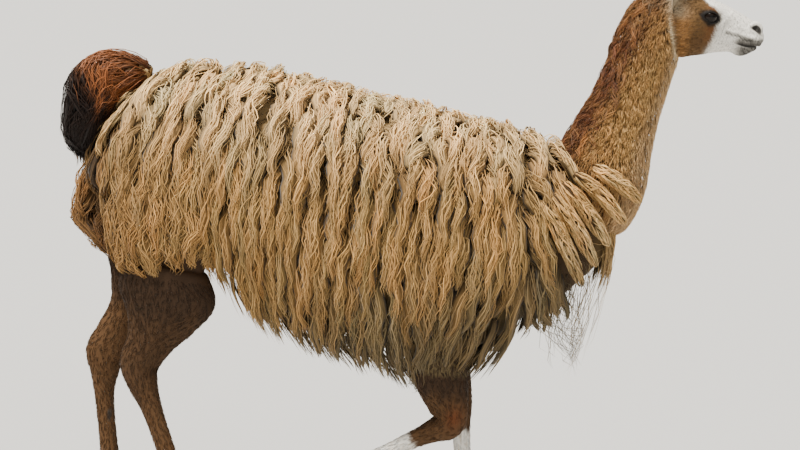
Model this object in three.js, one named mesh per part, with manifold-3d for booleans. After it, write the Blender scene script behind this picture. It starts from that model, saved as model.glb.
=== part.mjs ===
// A life-size llama in full fleece, caught in mid-stride: three feet stand on the floor, and the
// right forefoot is lifted and folded back.
// Millimetres. +X is forwards, +Y is the animal's left, +Z is up, and the soles stand on Z = 0.
import * as THREE from 'three';
import { mergeVertices } from 'three/addons/utils/BufferGeometryUtils.js';
import Module from 'manifold-3d';

const wasm = await Module();
wasm.setup();

// ---------------------------------------------------------------- driving dimensions
const GAP = 0.3; // clearance between neighbouring pieces
const LEFT = 1;
const RIGHT = -1;

const FETLOCK_HEIGHT = 92; // centre of the fetlock joint over the sole
const FOOT_CUT = 26; // the foot is parted from the cannon this far above the fetlock
const TOE_LENGTH = 112;
const TOE_SPACING = 21; // each toe's centre line from the foot's own
const TOE_SPLAY = 0.07; // the toes turn outwards, in radians
const NAIL_LENGTH = 30;

const EYE_RADIUS = 17.5;
const EYE_CENTRE = [687, 46, 1387]; // the left eye's
const EAR_BASE = [604, 50, 1388];
const EAR_LENGTH = 186;
const EAR_HALF_WIDTH = 31;
const EAR_TURN = 0.95; // how far the ear's hollow turns outwards, in radians
const EAR_ROOT_WIDTH = 0.17; // where the ear starts on the half wave that gives its width
const EAR_BLUNTNESS = 0.08; // the part of the ear's length over which its root closes
const EAR_THICKNESS = 0.42; // the shell's thickness and its cup's depth, of the half width
const EAR_CUP = 0.55;
const EAR_LEAN = [22, 32]; // how far the tip leans forwards and the middle outwards
const EAR_RETURN = 28; // how far the tip comes back in

const HEAD_CUT = [[590, 0, 1330], [0.72, 0, 0.69]]; // where the head is parted from the neck
const NECK_CUT = [[420, 0, 985], [0.8, 0, 0.6]]; // where the neck is parted from the trunk

const FLEECE_RIDGES = 15; // hanging clumps of fleece along each flank
const FLEECE_TUFTS = 9; // and rows of tufts across the back
const FLEECE_RELIEF = 7; // how far a clump stands proud
const FLEECE_SWEEP = 2.2; // how far a clump leans along the body as it hangs, in radians
const TUFT_SHARE = 0.45; // a tuft's height, of a clump's
const THIGH_CLUMPS = 7;
const NECK_FLUTES = 8; // soft upright flutes round the neck and the tail
const TAIL_FLUTES = 6;

// ---------------------------------------------------------------- shape tools

/** A sphere whose rings are drawn out by place(t, angle): t runs 0 to 1 from end to end. */
function drawnOut(rings, sides, place) {
  const geometry = new THREE.SphereGeometry(1, sides, rings);
  const { position, uv } = geometry.attributes;
  for (let i = 0; i < position.count; i++) {
    const point = place(1 - uv.getY(i), 2 * Math.PI * uv.getX(i));
    position.setXYZ(i, point.x, point.y, point.z);
  }
  return geometry;
}

/** How far round a half circle's end a place is, 0 at its tip and 1 where it is full. */
function rounded(distance, length) {
  const short = Math.max(0, 1 - distance / length);
  return Math.sqrt(1 - short ** 2);
}

/** A smooth curve through points given as arrays of three numbers. */
function curveThrough(points) {
  return new THREE.CatmullRomCurve3(points.map((p) => new THREE.Vector3(...p)), false, 'catmullrom');
}

/**
 * A limb, neck, head or trunk: rings round a line that bends only in an upright plane.
 * A station gives the line's place (x and z, and y for the plane's own place) and how far the body
 * reaches from it: back is towards the animal's upper line or the front of a leg, belly the other
 * way, and side to either side. round is the length over which each end closes, power squares the
 * rings up above 2, relief(t, angle) raises the surface, and grow swells it for a clearance.
 */
function limb({ stations, rings, sides, round = [10, 10], power = 2, relief = () => 0, grow = 0 }) {
  const line = curveThrough(stations.map(({ x, y = 0, z }) => [x, y, z]));
  const reach = curveThrough(stations.map(({ back, belly, side }) => [back, belly, side]));
  const total = line.getLength();
  return drawnOut(rings, sides, (t, angle) => {
    const along = (t + (1 - Math.cos(Math.PI * t)) / 2) / 2;
    const turn = line.getUtoTmapping(along);
    const middle = line.getPoint(turn);
    const way = line.getTangent(turn);
    const slant = Math.hypot(way.x, way.z);
    const { x: back, y: belly, z: side } = reach.getPoint(turn);
    const close = rounded(total * along, round[0]) * rounded(total * (1 - along), round[1]);
    const up = Math.sign(Math.cos(angle)) * Math.abs(Math.cos(angle)) ** (2 / power);
    const out = Math.sign(Math.sin(angle)) * Math.abs(Math.sin(angle)) ** (2 / power);
    const lift = relief(along, angle);
    const n = up * ((up > 0 ? back : belly) + lift + grow) * close;
    const m = out * (side + lift + grow) * close;
    const ends = (t < 0.5 ? -grow : grow) * (1 - close);
    return new THREE.Vector3(
      middle.x + (way.x * ends - way.z * n) / slant,
      middle.y + m,
      middle.z + (way.z * ends + way.x * n) / slant,
    );
  });
}

/** The geometry as a solid that can be joined and cut. */
function solid(geometry) {
  const bare = (geometry.index ? geometry.toNonIndexed() : geometry.clone());
  bare.deleteAttribute('normal');
  bare.deleteAttribute('uv');
  const merged = mergeVertices(bare, 1e-3);
  return new wasm.Manifold(new wasm.Mesh({
    numProp: 3,
    vertProperties: merged.attributes.position.array,
    triVerts: new Uint32Array(merged.index.array),
  }));
}

/** The solid's faces as a geometry for a mesh. */
function geometryOf(made) {
  const { vertProperties, triVerts, numProp } = made.getMesh();
  const positions = new Float32Array((vertProperties.length / numProp) * 3);
  for (let i = 0; i < positions.length / 3; i++) {
    positions.set(vertProperties.subarray(i * numProp, i * numProp + 3), i * 3);
  }
  const geometry = new THREE.BufferGeometry();
  geometry.setAttribute('position', new THREE.BufferAttribute(positions, 3));
  geometry.setIndex(new THREE.BufferAttribute(new Uint32Array(triVerts), 1));
  geometry.computeVertexNormals();
  return geometry;
}

/** All of space on the side that normal points to, from a plane through point less half a gap. */
function beyond(point, normal) {
  const size = 4000;
  const way = new THREE.Vector3(...normal).normalize();
  const box = new THREE.BoxGeometry(size, size, size).translate(0, 0, size / 2 + GAP / 2);
  box.applyQuaternion(new THREE.Quaternion().setFromUnitVectors(new THREE.Vector3(0, 0, 1), way));
  return solid(box.translate(...point));
}

/** A soft bump of the given height at (t, angle) on a limb's surface, the same on both sides. */
function bump(t, angle, { at, turn, long, wide, height }) {
  const sideways = Math.abs(Math.atan2(Math.sin(angle), Math.cos(angle)));
  return height * Math.exp(-(((t - at) / long) ** 2) - ((sideways - turn) / wide) ** 2);
}

// ---------------------------------------------------------------- trunk and thighs

/** Clumps of fleece that hang down the flanks, fading out along the spine. */
function fleece(t, angle) {
  const drape = Math.sin(angle / 2) ** 2;
  const clump = Math.sin(2 * Math.PI * FLEECE_RIDGES * t + FLEECE_SWEEP * Math.cos(angle));
  const tuft = Math.sin(2 * Math.PI * FLEECE_TUFTS * t + 5 * angle);
  return FLEECE_RELIEF * (clump * drape + TUFT_SHARE * tuft * (1 - drape));
}

function trunk(grow = 0) {
  return limb({
    rings: 28, sides: 22, round: [70, 44], power: 2.5, relief: fleece, grow,
    stations: [
      { x: -742, z: 1010, back: 118, belly: 120, side: 112 },
      { x: -680, z: 975, back: 180, belly: 170, side: 156 },
      { x: -600, z: 950, back: 216, belly: 205, side: 184 },
      { x: -510, z: 930, back: 248, belly: 235, side: 206 },
      { x: -400, z: 900, back: 276, belly: 258, side: 222 },
      { x: -280, z: 870, back: 292, belly: 308, side: 234 },
      { x: -140, z: 845, back: 289, belly: 342, side: 244 },
      { x: 0, z: 828, back: 288, belly: 356, side: 246 },
      { x: 110, z: 818, back: 284, belly: 374, side: 238 },
      { x: 200, z: 816, back: 277, belly: 330, side: 222 },
      { x: 300, z: 828, back: 258, belly: 256, side: 198 },
      { x: 380, z: 838, back: 226, belly: 236, side: 170 },
      { x: 450, z: 842, back: 150, belly: 212, side: 138 },
      { x: 500, z: 846, back: 96, belly: 138, side: 104 },
      { x: 542, z: 850, back: 48, belly: 62, side: 60 },
    ],
  });
}

// The thighs in their fleece, down to the hem over the leg. The left one is set further back.
const THIGHS = {
  [LEFT]: [
    { x: -600, z: 1080, y: 112, back: 60, belly: 84, side: 52 },
    { x: -612, z: 980, y: 124, back: 100, belly: 184, side: 74 },
    { x: -616, z: 900, y: 128, back: 118, belly: 210, side: 78 },
    { x: -618, z: 800, y: 128, back: 124, belly: 206, side: 78 },
    { x: -622, z: 715, y: 126, back: 108, belly: 202, side: 74 },
    { x: -630, z: 660, y: 122, back: 92, belly: 160, side: 66 },
    { x: -640, z: 612, y: 116, back: 78, belly: 104, side: 54 },
  ],
  [RIGHT]: [
    { x: -548, z: 1080, y: -112, back: 60, belly: 72, side: 56 },
    { x: -540, z: 980, y: -118, back: 124, belly: 164, side: 82 },
    { x: -540, z: 880, y: -120, back: 132, belly: 182, side: 86 },
    { x: -540, z: 780, y: -120, back: 134, belly: 176, side: 84 },
    { x: -540, z: 710, y: -118, back: 128, belly: 160, side: 78 },
    { x: -540, z: 636, y: -114, back: 112, belly: 128, side: 66 },
  ],
};

function thigh(side, grow = 0) {
  return limb({
    rings: 12, sides: 14, round: [70, 30], power: 2.3, grow, stations: THIGHS[side],
    relief: (t, angle) => FLEECE_RELIEF * 0.8 * Math.sin(THIGH_CLUMPS * angle + 3 * t),
  });
}

// ---------------------------------------------------------------- neck, head, ears, eyes

function neck(grow = 0) {
  return limb({
    rings: 15, sides: 18, round: [46, 30], power: 2.15, grow,
    relief: (t, angle) => 3 * Math.sin(NECK_FLUTES * angle) * (1 - t),
    stations: [
      { x: 424, z: 846, back: 110, belly: 92, side: 112 },
      { x: 446, z: 905, back: 130, belly: 122, side: 118 },
      { x: 466, z: 985, back: 120, belly: 128, side: 106 },
      { x: 491, z: 1080, back: 100, belly: 107, side: 89 },
      { x: 512, z: 1165, back: 82, belly: 96, side: 78 },
      { x: 528, z: 1235, back: 76, belly: 94, side: 73 },
      { x: 544, z: 1300, back: 80, belly: 92, side: 70 },
      { x: 564, z: 1352, back: 80, belly: 74, side: 67 },
      { x: 590, z: 1396, back: 70, belly: 56, side: 60 },
      { x: 612, z: 1430, back: 44, belly: 40, side: 46 },
    ],
  });
}

const HEAD_FEATURES = [
  { at: 0.5, turn: 0.98, long: 0.085, wide: 0.32, height: 7 }, // brow over the eye
  { at: 0.45, turn: 1.55, long: 0.16, wide: 0.4, height: 3 }, // cheekbone
  { at: 0.28, turn: 2.1, long: 0.15, wide: 0.5, height: 5 }, // jaw muscle
  { at: 0.64, turn: 1.8, long: 0.09, wide: 0.45, height: -4 }, // hollow before the cheek
  { at: 0.93, turn: 0.95, long: 0.05, wide: 0.4, height: 4 }, // nostril's rim
  { at: 0.95, turn: 1.7, long: 0.06, wide: 0.35, height: 4 }, // upper lip
  { at: 0.87, turn: 2.1, long: 0.05, wide: 0.16, height: -3 }, // mouth line
  { at: 0.84, turn: 2.6, long: 0.06, wide: 0.5, height: 3 }, // lower lip
];

function head(grow = 0) {
  return limb({
    rings: 22, sides: 22, round: [34, 14], power: 2.15, grow,
    relief: (t, angle) => HEAD_FEATURES.reduce((sum, f) => sum + bump(t, angle, f), 0),
    stations: [
      { x: 556, z: 1386, back: 46, belly: 40, side: 44 },
      { x: 582, z: 1382, back: 66, belly: 66, side: 56 },
      { x: 606, z: 1379, back: 76, belly: 88, side: 60 },
      { x: 636, z: 1376, back: 76, belly: 94, side: 61 },
      { x: 664, z: 1373, back: 69, belly: 88, side: 59 },
      { x: 690, z: 1369, back: 62, belly: 79, side: 55 },
      { x: 715, z: 1365, back: 58, belly: 68, side: 47 },
      { x: 740, z: 1360, back: 53, belly: 58, side: 39 },
      { x: 762, z: 1355, back: 48, belly: 51, side: 34 },
      { x: 783, z: 1350, back: 43, belly: 52, side: 32 },
      { x: 800, z: 1346, back: 40, belly: 44, side: 31 },
      { x: 814, z: 1343, back: 36, belly: 26, side: 28 },
      { x: 827, z: 1341, back: 27, belly: 12, side: 22 },
    ],
  });
}

/** An ear: a tapered shell, hollow on its outer front side, that curves in again at its tip. */
function ear(side) {
  const [cos, sin] = [Math.cos(EAR_TURN), Math.sin(EAR_TURN)];
  const [x, y, z] = EAR_BASE;
  const geometry = drawnOut(9, 8, (t, angle) => {
    const wave = Math.sin(Math.PI * (EAR_ROOT_WIDTH + (1 - EAR_ROOT_WIDTH) * t));
    const half = EAR_HALF_WIDTH * Math.sqrt(wave * rounded(t, EAR_BLUNTNESS));
    const across = 0.85 * half * Math.cos(angle);
    const shell = EAR_THICKNESS * half * Math.sin(angle) * (1 - 0.45 * Math.abs(Math.cos(angle)));
    const forwards = shell + half * (EAR_CUP * Math.cos(angle) ** 2 - 0.2);
    return new THREE.Vector3(
      x - 8 * t + EAR_LEAN[0] * t * t + forwards * cos - across * sin,
      side * (y + EAR_LEAN[1] * t - EAR_RETURN * t ** 3 + across * cos + forwards * sin),
      z + EAR_LENGTH * t - 0.12 * across,
    );
  });
  return side === LEFT ? solid(geometry) : solid(flipped(geometry));
}

/** The same surface with its faces turned round. */
function flipped(geometry) {
  const index = geometry.index.array;
  for (let i = 0; i < index.length; i += 3) {
    [index[i + 1], index[i + 2]] = [index[i + 2], index[i + 1]];
  }
  return geometry;
}

function eye(side, grow = 0) {
  const [x, y, z] = EYE_CENTRE;
  return new THREE.SphereGeometry(EYE_RADIUS + grow, 12, 8).translate(x, side * y, z);
}

// ---------------------------------------------------------------- tail

function tail() {
  return limb({
    rings: 12, sides: 12, round: [46, 30], power: 2.2,
    relief: (t, angle) => 4 * Math.sin(TAIL_FLUTES * angle + 2 * t) * (1 - t),
    stations: [
      { x: -768, z: 920, y: -14, back: 42, belly: 26, side: 34 },
      { x: -782, z: 985, y: -14, back: 54, belly: 52, side: 50 },
      { x: -786, z: 1050, y: -12, back: 56, belly: 82, side: 56 },
      { x: -762, z: 1108, y: -8, back: 52, belly: 86, side: 58 },
      { x: -700, z: 1130, y: 0, back: 42, belly: 74, side: 56 },
      { x: -620, z: 1120, y: 0, back: 38, belly: 60, side: 48 },
    ],
  });
}

// ---------------------------------------------------------------- legs and feet

// Each leg's line from inside the fleece to its fetlock. A foot is turned about its fetlock by
// tilt, in radians, which is 0 for a foot on the floor.
const LEGS = {
  foreleg_left: {
    tilt: 0, turn: 0.04,
    stations: [
      { x: 110, z: 640, y: 105, back: 66, belly: 70, side: 52 },
      { x: 148, z: 520, y: 88, back: 60, belly: 66, side: 46 },
      { x: 172, z: 440, y: 76, back: 44, belly: 50, side: 38 },
      { x: 188, z: 385, y: 68, back: 37, belly: 37, side: 33 },
      { x: 194, z: 352, y: 64, back: 34, belly: 32, side: 32 },
      { x: 201, z: 310, y: 60, back: 27, belly: 26, side: 25 },
      { x: 212, z: 240, y: 54, back: 24, belly: 24, side: 21 },
      { x: 224, z: 160, y: 49, back: 24, belly: 25, side: 22 },
      { x: 234, z: FETLOCK_HEIGHT, y: 46, back: 28, belly: 30, side: 27 },
    ],
  },
  foreleg_right: {
    tilt: 1.32, turn: 0,
    stations: [
      { x: 92, z: 640, y: -108, back: 70, belly: 74, side: 54 },
      { x: 112, z: 530, y: -100, back: 70, belly: 72, side: 50 },
      { x: 138, z: 450, y: -94, back: 68, belly: 66, side: 43 },
      { x: 158, z: 392, y: -90, back: 54, belly: 52, side: 37 },
      { x: 158, z: 350, y: -88, back: 50, belly: 38, side: 34 },
      { x: 122, z: 322, y: -86, back: 32, belly: 28, side: 28 },
      { x: 72, z: 290, y: -83, back: 24, belly: 24, side: 22 },
      { x: 8, z: 248, y: -80, back: 23, belly: 24, side: 21 },
      { x: -52, z: 209, y: -78, back: 27, belly: 29, side: 26 },
    ],
  },
  hindleg_left: {
    tilt: 0, turn: 0.05,
    stations: [
      { x: -638, z: 690, y: 114, back: 60, belly: 84, side: 50 },
      { x: -640, z: 630, y: 111, back: 70, belly: 86, side: 50 },
      { x: -650, z: 580, y: 108, back: 58, belly: 66, side: 46 },
      { x: -664, z: 520, y: 104, back: 47, belly: 48, side: 40 },
      { x: -690, z: 448, y: 100, back: 50, belly: 51, side: 36 },
      { x: -706, z: 400, y: 98, back: 51, belly: 56, side: 34 },
      { x: -705, z: 352, y: 96, back: 38, belly: 42, side: 29 },
      { x: -702, z: 290, y: 95, back: 27, belly: 29, side: 24 },
      { x: -686, z: 190, y: 94, back: 25, belly: 26, side: 22 },
      { x: -668, z: FETLOCK_HEIGHT, y: 94, back: 28, belly: 30, side: 27 },
    ],
  },
  hindleg_right: {
    tilt: 0, turn: -0.05,
    stations: [
      { x: -540, z: 690, y: -112, back: 84, belly: 104, side: 58 },
      { x: -544, z: 640, y: -110, back: 112, belly: 118, side: 58 },
      { x: -548, z: 590, y: -108, back: 126, belly: 114, side: 54 },
      { x: -558, z: 536, y: -106, back: 94, belly: 86, side: 47 },
      { x: -576, z: 478, y: -105, back: 60, belly: 60, side: 40 },
      { x: -594, z: 425, y: -104, back: 50, belly: 53, side: 35 },
      { x: -582, z: 376, y: -105, back: 38, belly: 42, side: 30 },
      { x: -556, z: 316, y: -107, back: 28, belly: 29, side: 25 },
      { x: -516, z: 224, y: -110, back: 25, belly: 26, side: 22 },
      { x: -459, z: FETLOCK_HEIGHT, y: -112, back: 28, belly: 30, side: 27 },
    ],
  },
};

// The pastern goes on from the fetlock, in the foot's own frame: the fetlock is at its origin, and
// the toes point to +X.
const PASTERN = [
  { x: 20, z: -34, back: 25, belly: 26, side: 28 },
  { x: 46, z: -62, back: 20, belly: 22, side: 30 },
];

/** A whole leg's stations, from inside the fleece to the toes' roots. */
function legStations(name) {
  const { stations, tilt } = LEGS[name];
  const fetlock = stations[stations.length - 1];
  const [c, s] = [Math.cos(tilt), Math.sin(tilt)];
  return [...stations, ...PASTERN.map((p) => ({
    ...p, x: fetlock.x + p.x * c + p.z * s, y: fetlock.y, z: fetlock.z - p.x * s + p.z * c,
  }))];
}

function leg(name, grow = 0) {
  return limb({ rings: 17, sides: 10, round: [30, 16], power: 2.1, grow, stations: legStations(name) });
}

/** One toe with its pad, in the foot's own frame, pointing to +X. */
function toe(side) {
  const geometry = limb({
    rings: 6, sides: 8, round: [22, 20], power: 2.3,
    stations: [
      { x: -14, z: 24 - FETLOCK_HEIGHT, back: 26, belly: 26, side: 20 },
      { x: 20, z: 25 - FETLOCK_HEIGHT, back: 30, belly: 27, side: 20 },
      { x: 55, z: 22 - FETLOCK_HEIGHT, back: 27, belly: 24, side: 20 },
      { x: TOE_LENGTH - 22, z: 17 - FETLOCK_HEIGHT, back: 18, belly: 19, side: 16 },
    ],
  });
  return geometry.rotateZ(side * TOE_SPLAY).translate(0, side * TOE_SPACING, 0);
}

/** The nail at a toe's end: a curved horn wedge that overhangs the pad. */
function nail(side, grow = 0) {
  const geometry = limb({
    rings: 5, sides: 6, round: [8, 5], power: 2.4, grow,
    stations: [
      { x: 0, z: 0, back: 9, belly: 8, side: 9 },
      { x: NAIL_LENGTH * 0.5, z: -3, back: 9, belly: 8, side: 8 },
      { x: NAIL_LENGTH, z: -12, back: 5, belly: 4, side: 4 },
    ],
  });
  return geometry.translate(TOE_LENGTH - 40, 0, 24 - FETLOCK_HEIGHT)
    .rotateZ(side * TOE_SPLAY).translate(0, side * TOE_SPACING, 0);
}

/** Turns the foot's own frame to where it joins the named leg. */
function footPlace(name) {
  const { stations, tilt, turn } = LEGS[name];
  const { x, y, z } = stations[stations.length - 1];
  return new THREE.Matrix4().makeTranslation(x, y, z)
    .multiply(new THREE.Matrix4().makeRotationZ(turn))
    .multiply(new THREE.Matrix4().makeRotationY(tilt));
}

/** The way from the cannon to the fetlock, as a unit vector. */
function cannonWay(name) {
  const [a, b] = LEGS[name].stations.slice(-2).map((s) => new THREE.Vector3(s.x, s.y, s.z));
  return b.sub(a).normalize();
}

/** A whole leg from its fleece to its soles, with the nails cut out of it. */
function wholeLeg(name) {
  const place = footPlace(name);
  let made = solid(leg(name));
  for (const side of [LEFT, RIGHT]) {
    made = made.add(solid(toe(side).applyMatrix4(place)));
  }
  for (const side of [LEFT, RIGHT]) {
    made = made.subtract(solid(nail(side, GAP).applyMatrix4(place)));
  }
  return made;
}

// ---------------------------------------------------------------- the llama

const COLOURS = {
  fleece: { color: 0xc79f70, roughness: 0.95 },
  neck: { color: 0xa9784d, roughness: 0.95 },
  tail: { color: 0x4a2a1c, roughness: 0.9 },
  hair: { color: 0x6b4028, roughness: 0.85 },
  face: { color: 0xc9b8a6, roughness: 0.85 },
  foot: { color: 0xcfc6ba, roughness: 0.85 },
  eye: { color: 0x0d0a08, roughness: 0.08 },
  nail: { color: 0x3b332d, roughness: 0.5 },
};

const llama = new THREE.Group();

function put(name, made, finish) {
  const material = new THREE.MeshStandardMaterial({ ...COLOURS[finish], metalness: 0 });
  const mesh = new THREE.Mesh(made instanceof THREE.BufferGeometry ? made : geometryOf(made), material);
  mesh.name = name;
  llama.add(mesh);
}

const FLOOR = beyond([0, 0, -GAP / 2], [0, 0, 1]);

/** Both halves of a solid parted at a plane through point, square to way. */
function parted(made, point, way) {
  return [made.intersect(beyond(point, way)), made.intersect(beyond(point, way.map((v) => -v)))];
}

// The trunk, neck and head are one body, which thin cuts then part.
const body = solid(trunk()).add(solid(neck())).add(solid(head()));
const [headBlock, headless] = parted(body, ...HEAD_CUT);
const [neckBlock, trunkBlock] = parted(headless, ...NECK_CUT);

put('neck', neckBlock, 'neck');
let trunkPiece = trunkBlock;
for (const [side, name] of [[LEFT, 'hindleg_left'], [RIGHT, 'hindleg_right']]) {
  trunkPiece = trunkPiece.subtract(solid(thigh(side, GAP)).add(solid(leg(name, GAP))));
}
put('trunk', trunkPiece, 'fleece');
put('head', headBlock.subtract(solid(eye(LEFT, GAP))).subtract(solid(eye(RIGHT, GAP))), 'face');
for (const [side, sideName] of [[LEFT, 'left'], [RIGHT, 'right']]) {
  put(`eye_${sideName}`, eye(side), 'eye');
  put(`ear_${sideName}`, ear(side).subtract(solid(head(GAP))).subtract(solid(neck(GAP))), 'face');
}
put('tail', solid(tail()).subtract(solid(trunk(GAP))), 'tail');

const legSolids = {
  foreleg_left: wholeLeg('foreleg_left').subtract(solid(trunk(GAP))),
  foreleg_right: wholeLeg('foreleg_right').subtract(solid(trunk(GAP))),
  hindleg_left: wholeLeg('hindleg_left').add(solid(thigh(LEFT))),
  hindleg_right: wholeLeg('hindleg_right').add(solid(thigh(RIGHT))),
};

for (const [name, made] of Object.entries(legSolids)) {
  const way = cannonWay(name);
  const { x, y, z } = LEGS[name].stations[LEGS[name].stations.length - 1];
  const point = [x - way.x * FOOT_CUT, y - way.y * FOOT_CUT, z - way.z * FOOT_CUT];
  const [foot, upper] = parted(made.intersect(FLOOR), point, [way.x, way.y, way.z]);
  put(name, upper, 'hair');
  put(name.replace('leg', 'foot'), foot, 'foot');
  for (const [side, letter] of [[LEFT, 'a'], [RIGHT, 'b']]) {
    const placed = nail(side).applyMatrix4(footPlace(name));
    put(`${name.replace('leg', 'nail')}_${letter}`, placed, 'nail');
  }
}

// The origin is on the floor under the middle of the whole animal.
const box = new THREE.Box3().setFromObject(llama);
const middle = box.getCenter(new THREE.Vector3());
llama.position.set(-middle.x, -middle.y, 0);

export default llama;
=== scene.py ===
"""A life-size llama in full fleece, walking with its right forefoot lifted: its skin, its coat of
solid locks, its eyes and nails, and a plain studio round it. Metres, in the frame of the solids."""
import math

import bpy
import numpy as np
from mathutils import Matrix, Vector


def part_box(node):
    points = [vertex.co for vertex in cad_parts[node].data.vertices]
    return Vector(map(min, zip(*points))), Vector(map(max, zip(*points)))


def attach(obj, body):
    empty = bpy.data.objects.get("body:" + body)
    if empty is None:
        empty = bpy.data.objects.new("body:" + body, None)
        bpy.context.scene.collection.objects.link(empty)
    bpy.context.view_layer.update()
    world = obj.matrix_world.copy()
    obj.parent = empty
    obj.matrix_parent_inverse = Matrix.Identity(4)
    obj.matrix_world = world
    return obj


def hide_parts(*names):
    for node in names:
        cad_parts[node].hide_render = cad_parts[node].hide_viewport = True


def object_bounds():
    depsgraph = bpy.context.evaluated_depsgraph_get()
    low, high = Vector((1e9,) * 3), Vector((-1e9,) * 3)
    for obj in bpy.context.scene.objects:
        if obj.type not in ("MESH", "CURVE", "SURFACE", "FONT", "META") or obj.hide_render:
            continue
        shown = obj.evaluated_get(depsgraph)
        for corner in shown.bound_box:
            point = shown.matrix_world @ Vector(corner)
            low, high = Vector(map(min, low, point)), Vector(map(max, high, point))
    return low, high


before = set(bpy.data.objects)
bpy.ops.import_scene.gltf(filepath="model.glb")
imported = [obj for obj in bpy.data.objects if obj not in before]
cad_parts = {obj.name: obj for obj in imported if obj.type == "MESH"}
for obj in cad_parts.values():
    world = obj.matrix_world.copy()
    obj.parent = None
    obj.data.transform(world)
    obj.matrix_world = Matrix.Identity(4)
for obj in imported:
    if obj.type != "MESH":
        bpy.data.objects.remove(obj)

bl_info = {
    "name": "Llama in Full Fleece",
    "version": (1, 0, 0),
    "blender": (4, 5, 0),
    "location": "View3D > Sidebar > Llama",
    "description": "Builds a walking llama's skin, coat, eyes and nails over its solids",
    "category": "Add Mesh",
}

CAD_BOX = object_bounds()
# How far inside the solids' box the coat stays, and the nails over the floor.
BOX_MARGIN = 0.0005
MM = 0.001
LEFT = 1
RIGHT = -1
SIDES = {LEFT: "left", RIGHT: "right"}
LEG_NAMES = ("foreleg_left", "foreleg_right", "hindleg_left", "hindleg_right")
FLESH = ("trunk", "neck", "head", "tail", "ear_left", "ear_right") + LEG_NAMES + tuple(
    name.replace("leg", "foot") for name in LEG_NAMES)

# The drawing's own eye; the solids are moved along X from the drawing so that their box is centred.
EYE_AT = np.array([687, 46, 1387]) * MM
EYE_RADIUS = 17.5 * MM
# The way that the left eye looks.
EYE_GAZE = (0.22, 1.0, 0.12)
# The opening between the lids, in millimetres, and how much it rises backwards.
EYE_HALF_LENGTH = 15.5
EYE_HALF_HEIGHT = 10.4
EYE_SLANT = 0.08
EYE_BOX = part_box("eye_left")
SHIFT = np.array([(EYE_BOX[0][0] + EYE_BOX[1][0]) / 2 - EYE_AT[0], 0, 0])


# ------------------------------------------------------------------------------ the body's lines
# A station of a limb, in millimetres: x, y and z of its line, then how far the body reaches from it
# to the back (or a leg's front), to the belly (or a leg's rear) and to either side.
TRUNK_STATIONS = (
    (-742, 0, 1010, 118, 120, 112), (-680, 0, 975, 180, 170, 156), (-600, 0, 950, 216, 205, 184),
    (-510, 0, 930, 248, 235, 206), (-400, 0, 900, 276, 258, 222), (-280, 0, 870, 292, 308, 234),
    (-140, 0, 845, 289, 342, 244), (0, 0, 828, 288, 356, 246), (110, 0, 818, 284, 374, 238),
    (200, 0, 816, 277, 330, 222), (300, 0, 828, 258, 256, 198), (380, 0, 838, 226, 236, 170),
    (450, 0, 842, 150, 212, 138), (500, 0, 846, 96, 138, 104), (542, 0, 850, 48, 62, 60),
)
THIGH_STATIONS = {
    LEFT: (
        (-600, 112, 1080, 60, 84, 52), (-612, 124, 980, 100, 184, 74), (-616, 128, 900, 118, 210, 78),
        (-618, 128, 800, 124, 206, 78), (-622, 126, 715, 108, 202, 74), (-630, 122, 660, 92, 160, 66),
        (-640, 116, 612, 78, 104, 54),
    ),
    RIGHT: (
        (-548, -112, 1080, 60, 72, 56), (-540, -118, 980, 124, 164, 82), (-540, -120, 880, 132, 182, 86),
        (-540, -120, 780, 134, 176, 84), (-540, -118, 710, 128, 160, 78), (-540, -114, 636, 112, 128, 66),
    ),
}
NECK_STATIONS = (
    (424, 0, 846, 110, 92, 112), (446, 0, 905, 130, 122, 118), (466, 0, 985, 120, 128, 106),
    (491, 0, 1080, 100, 107, 89), (512, 0, 1165, 82, 96, 78), (528, 0, 1235, 76, 94, 73),
    (544, 0, 1300, 80, 92, 70), (564, 0, 1352, 80, 74, 67), (590, 0, 1396, 70, 56, 60),
    (612, 0, 1430, 44, 40, 46),
)
HEAD_STATIONS = (
    (556, 0, 1386, 46, 40, 44), (582, 0, 1382, 66, 66, 56), (606, 0, 1379, 76, 88, 60),
    (636, 0, 1376, 76, 94, 61), (664, 0, 1373, 69, 88, 59), (690, 0, 1369, 62, 79, 55),
    (715, 0, 1365, 58, 68, 47), (740, 0, 1360, 53, 58, 39), (762, 0, 1355, 48, 51, 34),
    (783, 0, 1350, 43, 52, 32), (800, 0, 1346, 40, 44, 31), (814, 0, 1343, 36, 26, 28),
    (827, 0, 1341, 27, 12, 22),
)
TAIL_STATIONS = (
    (-768, -14, 920, 42, 26, 34), (-782, -14, 985, 54, 52, 50), (-786, -12, 1050, 56, 82, 56),
    (-762, -8, 1108, 52, 86, 58), (-700, 0, 1130, 42, 74, 56), (-620, 0, 1120, 38, 60, 48),
)
FETLOCK = 92
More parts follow.
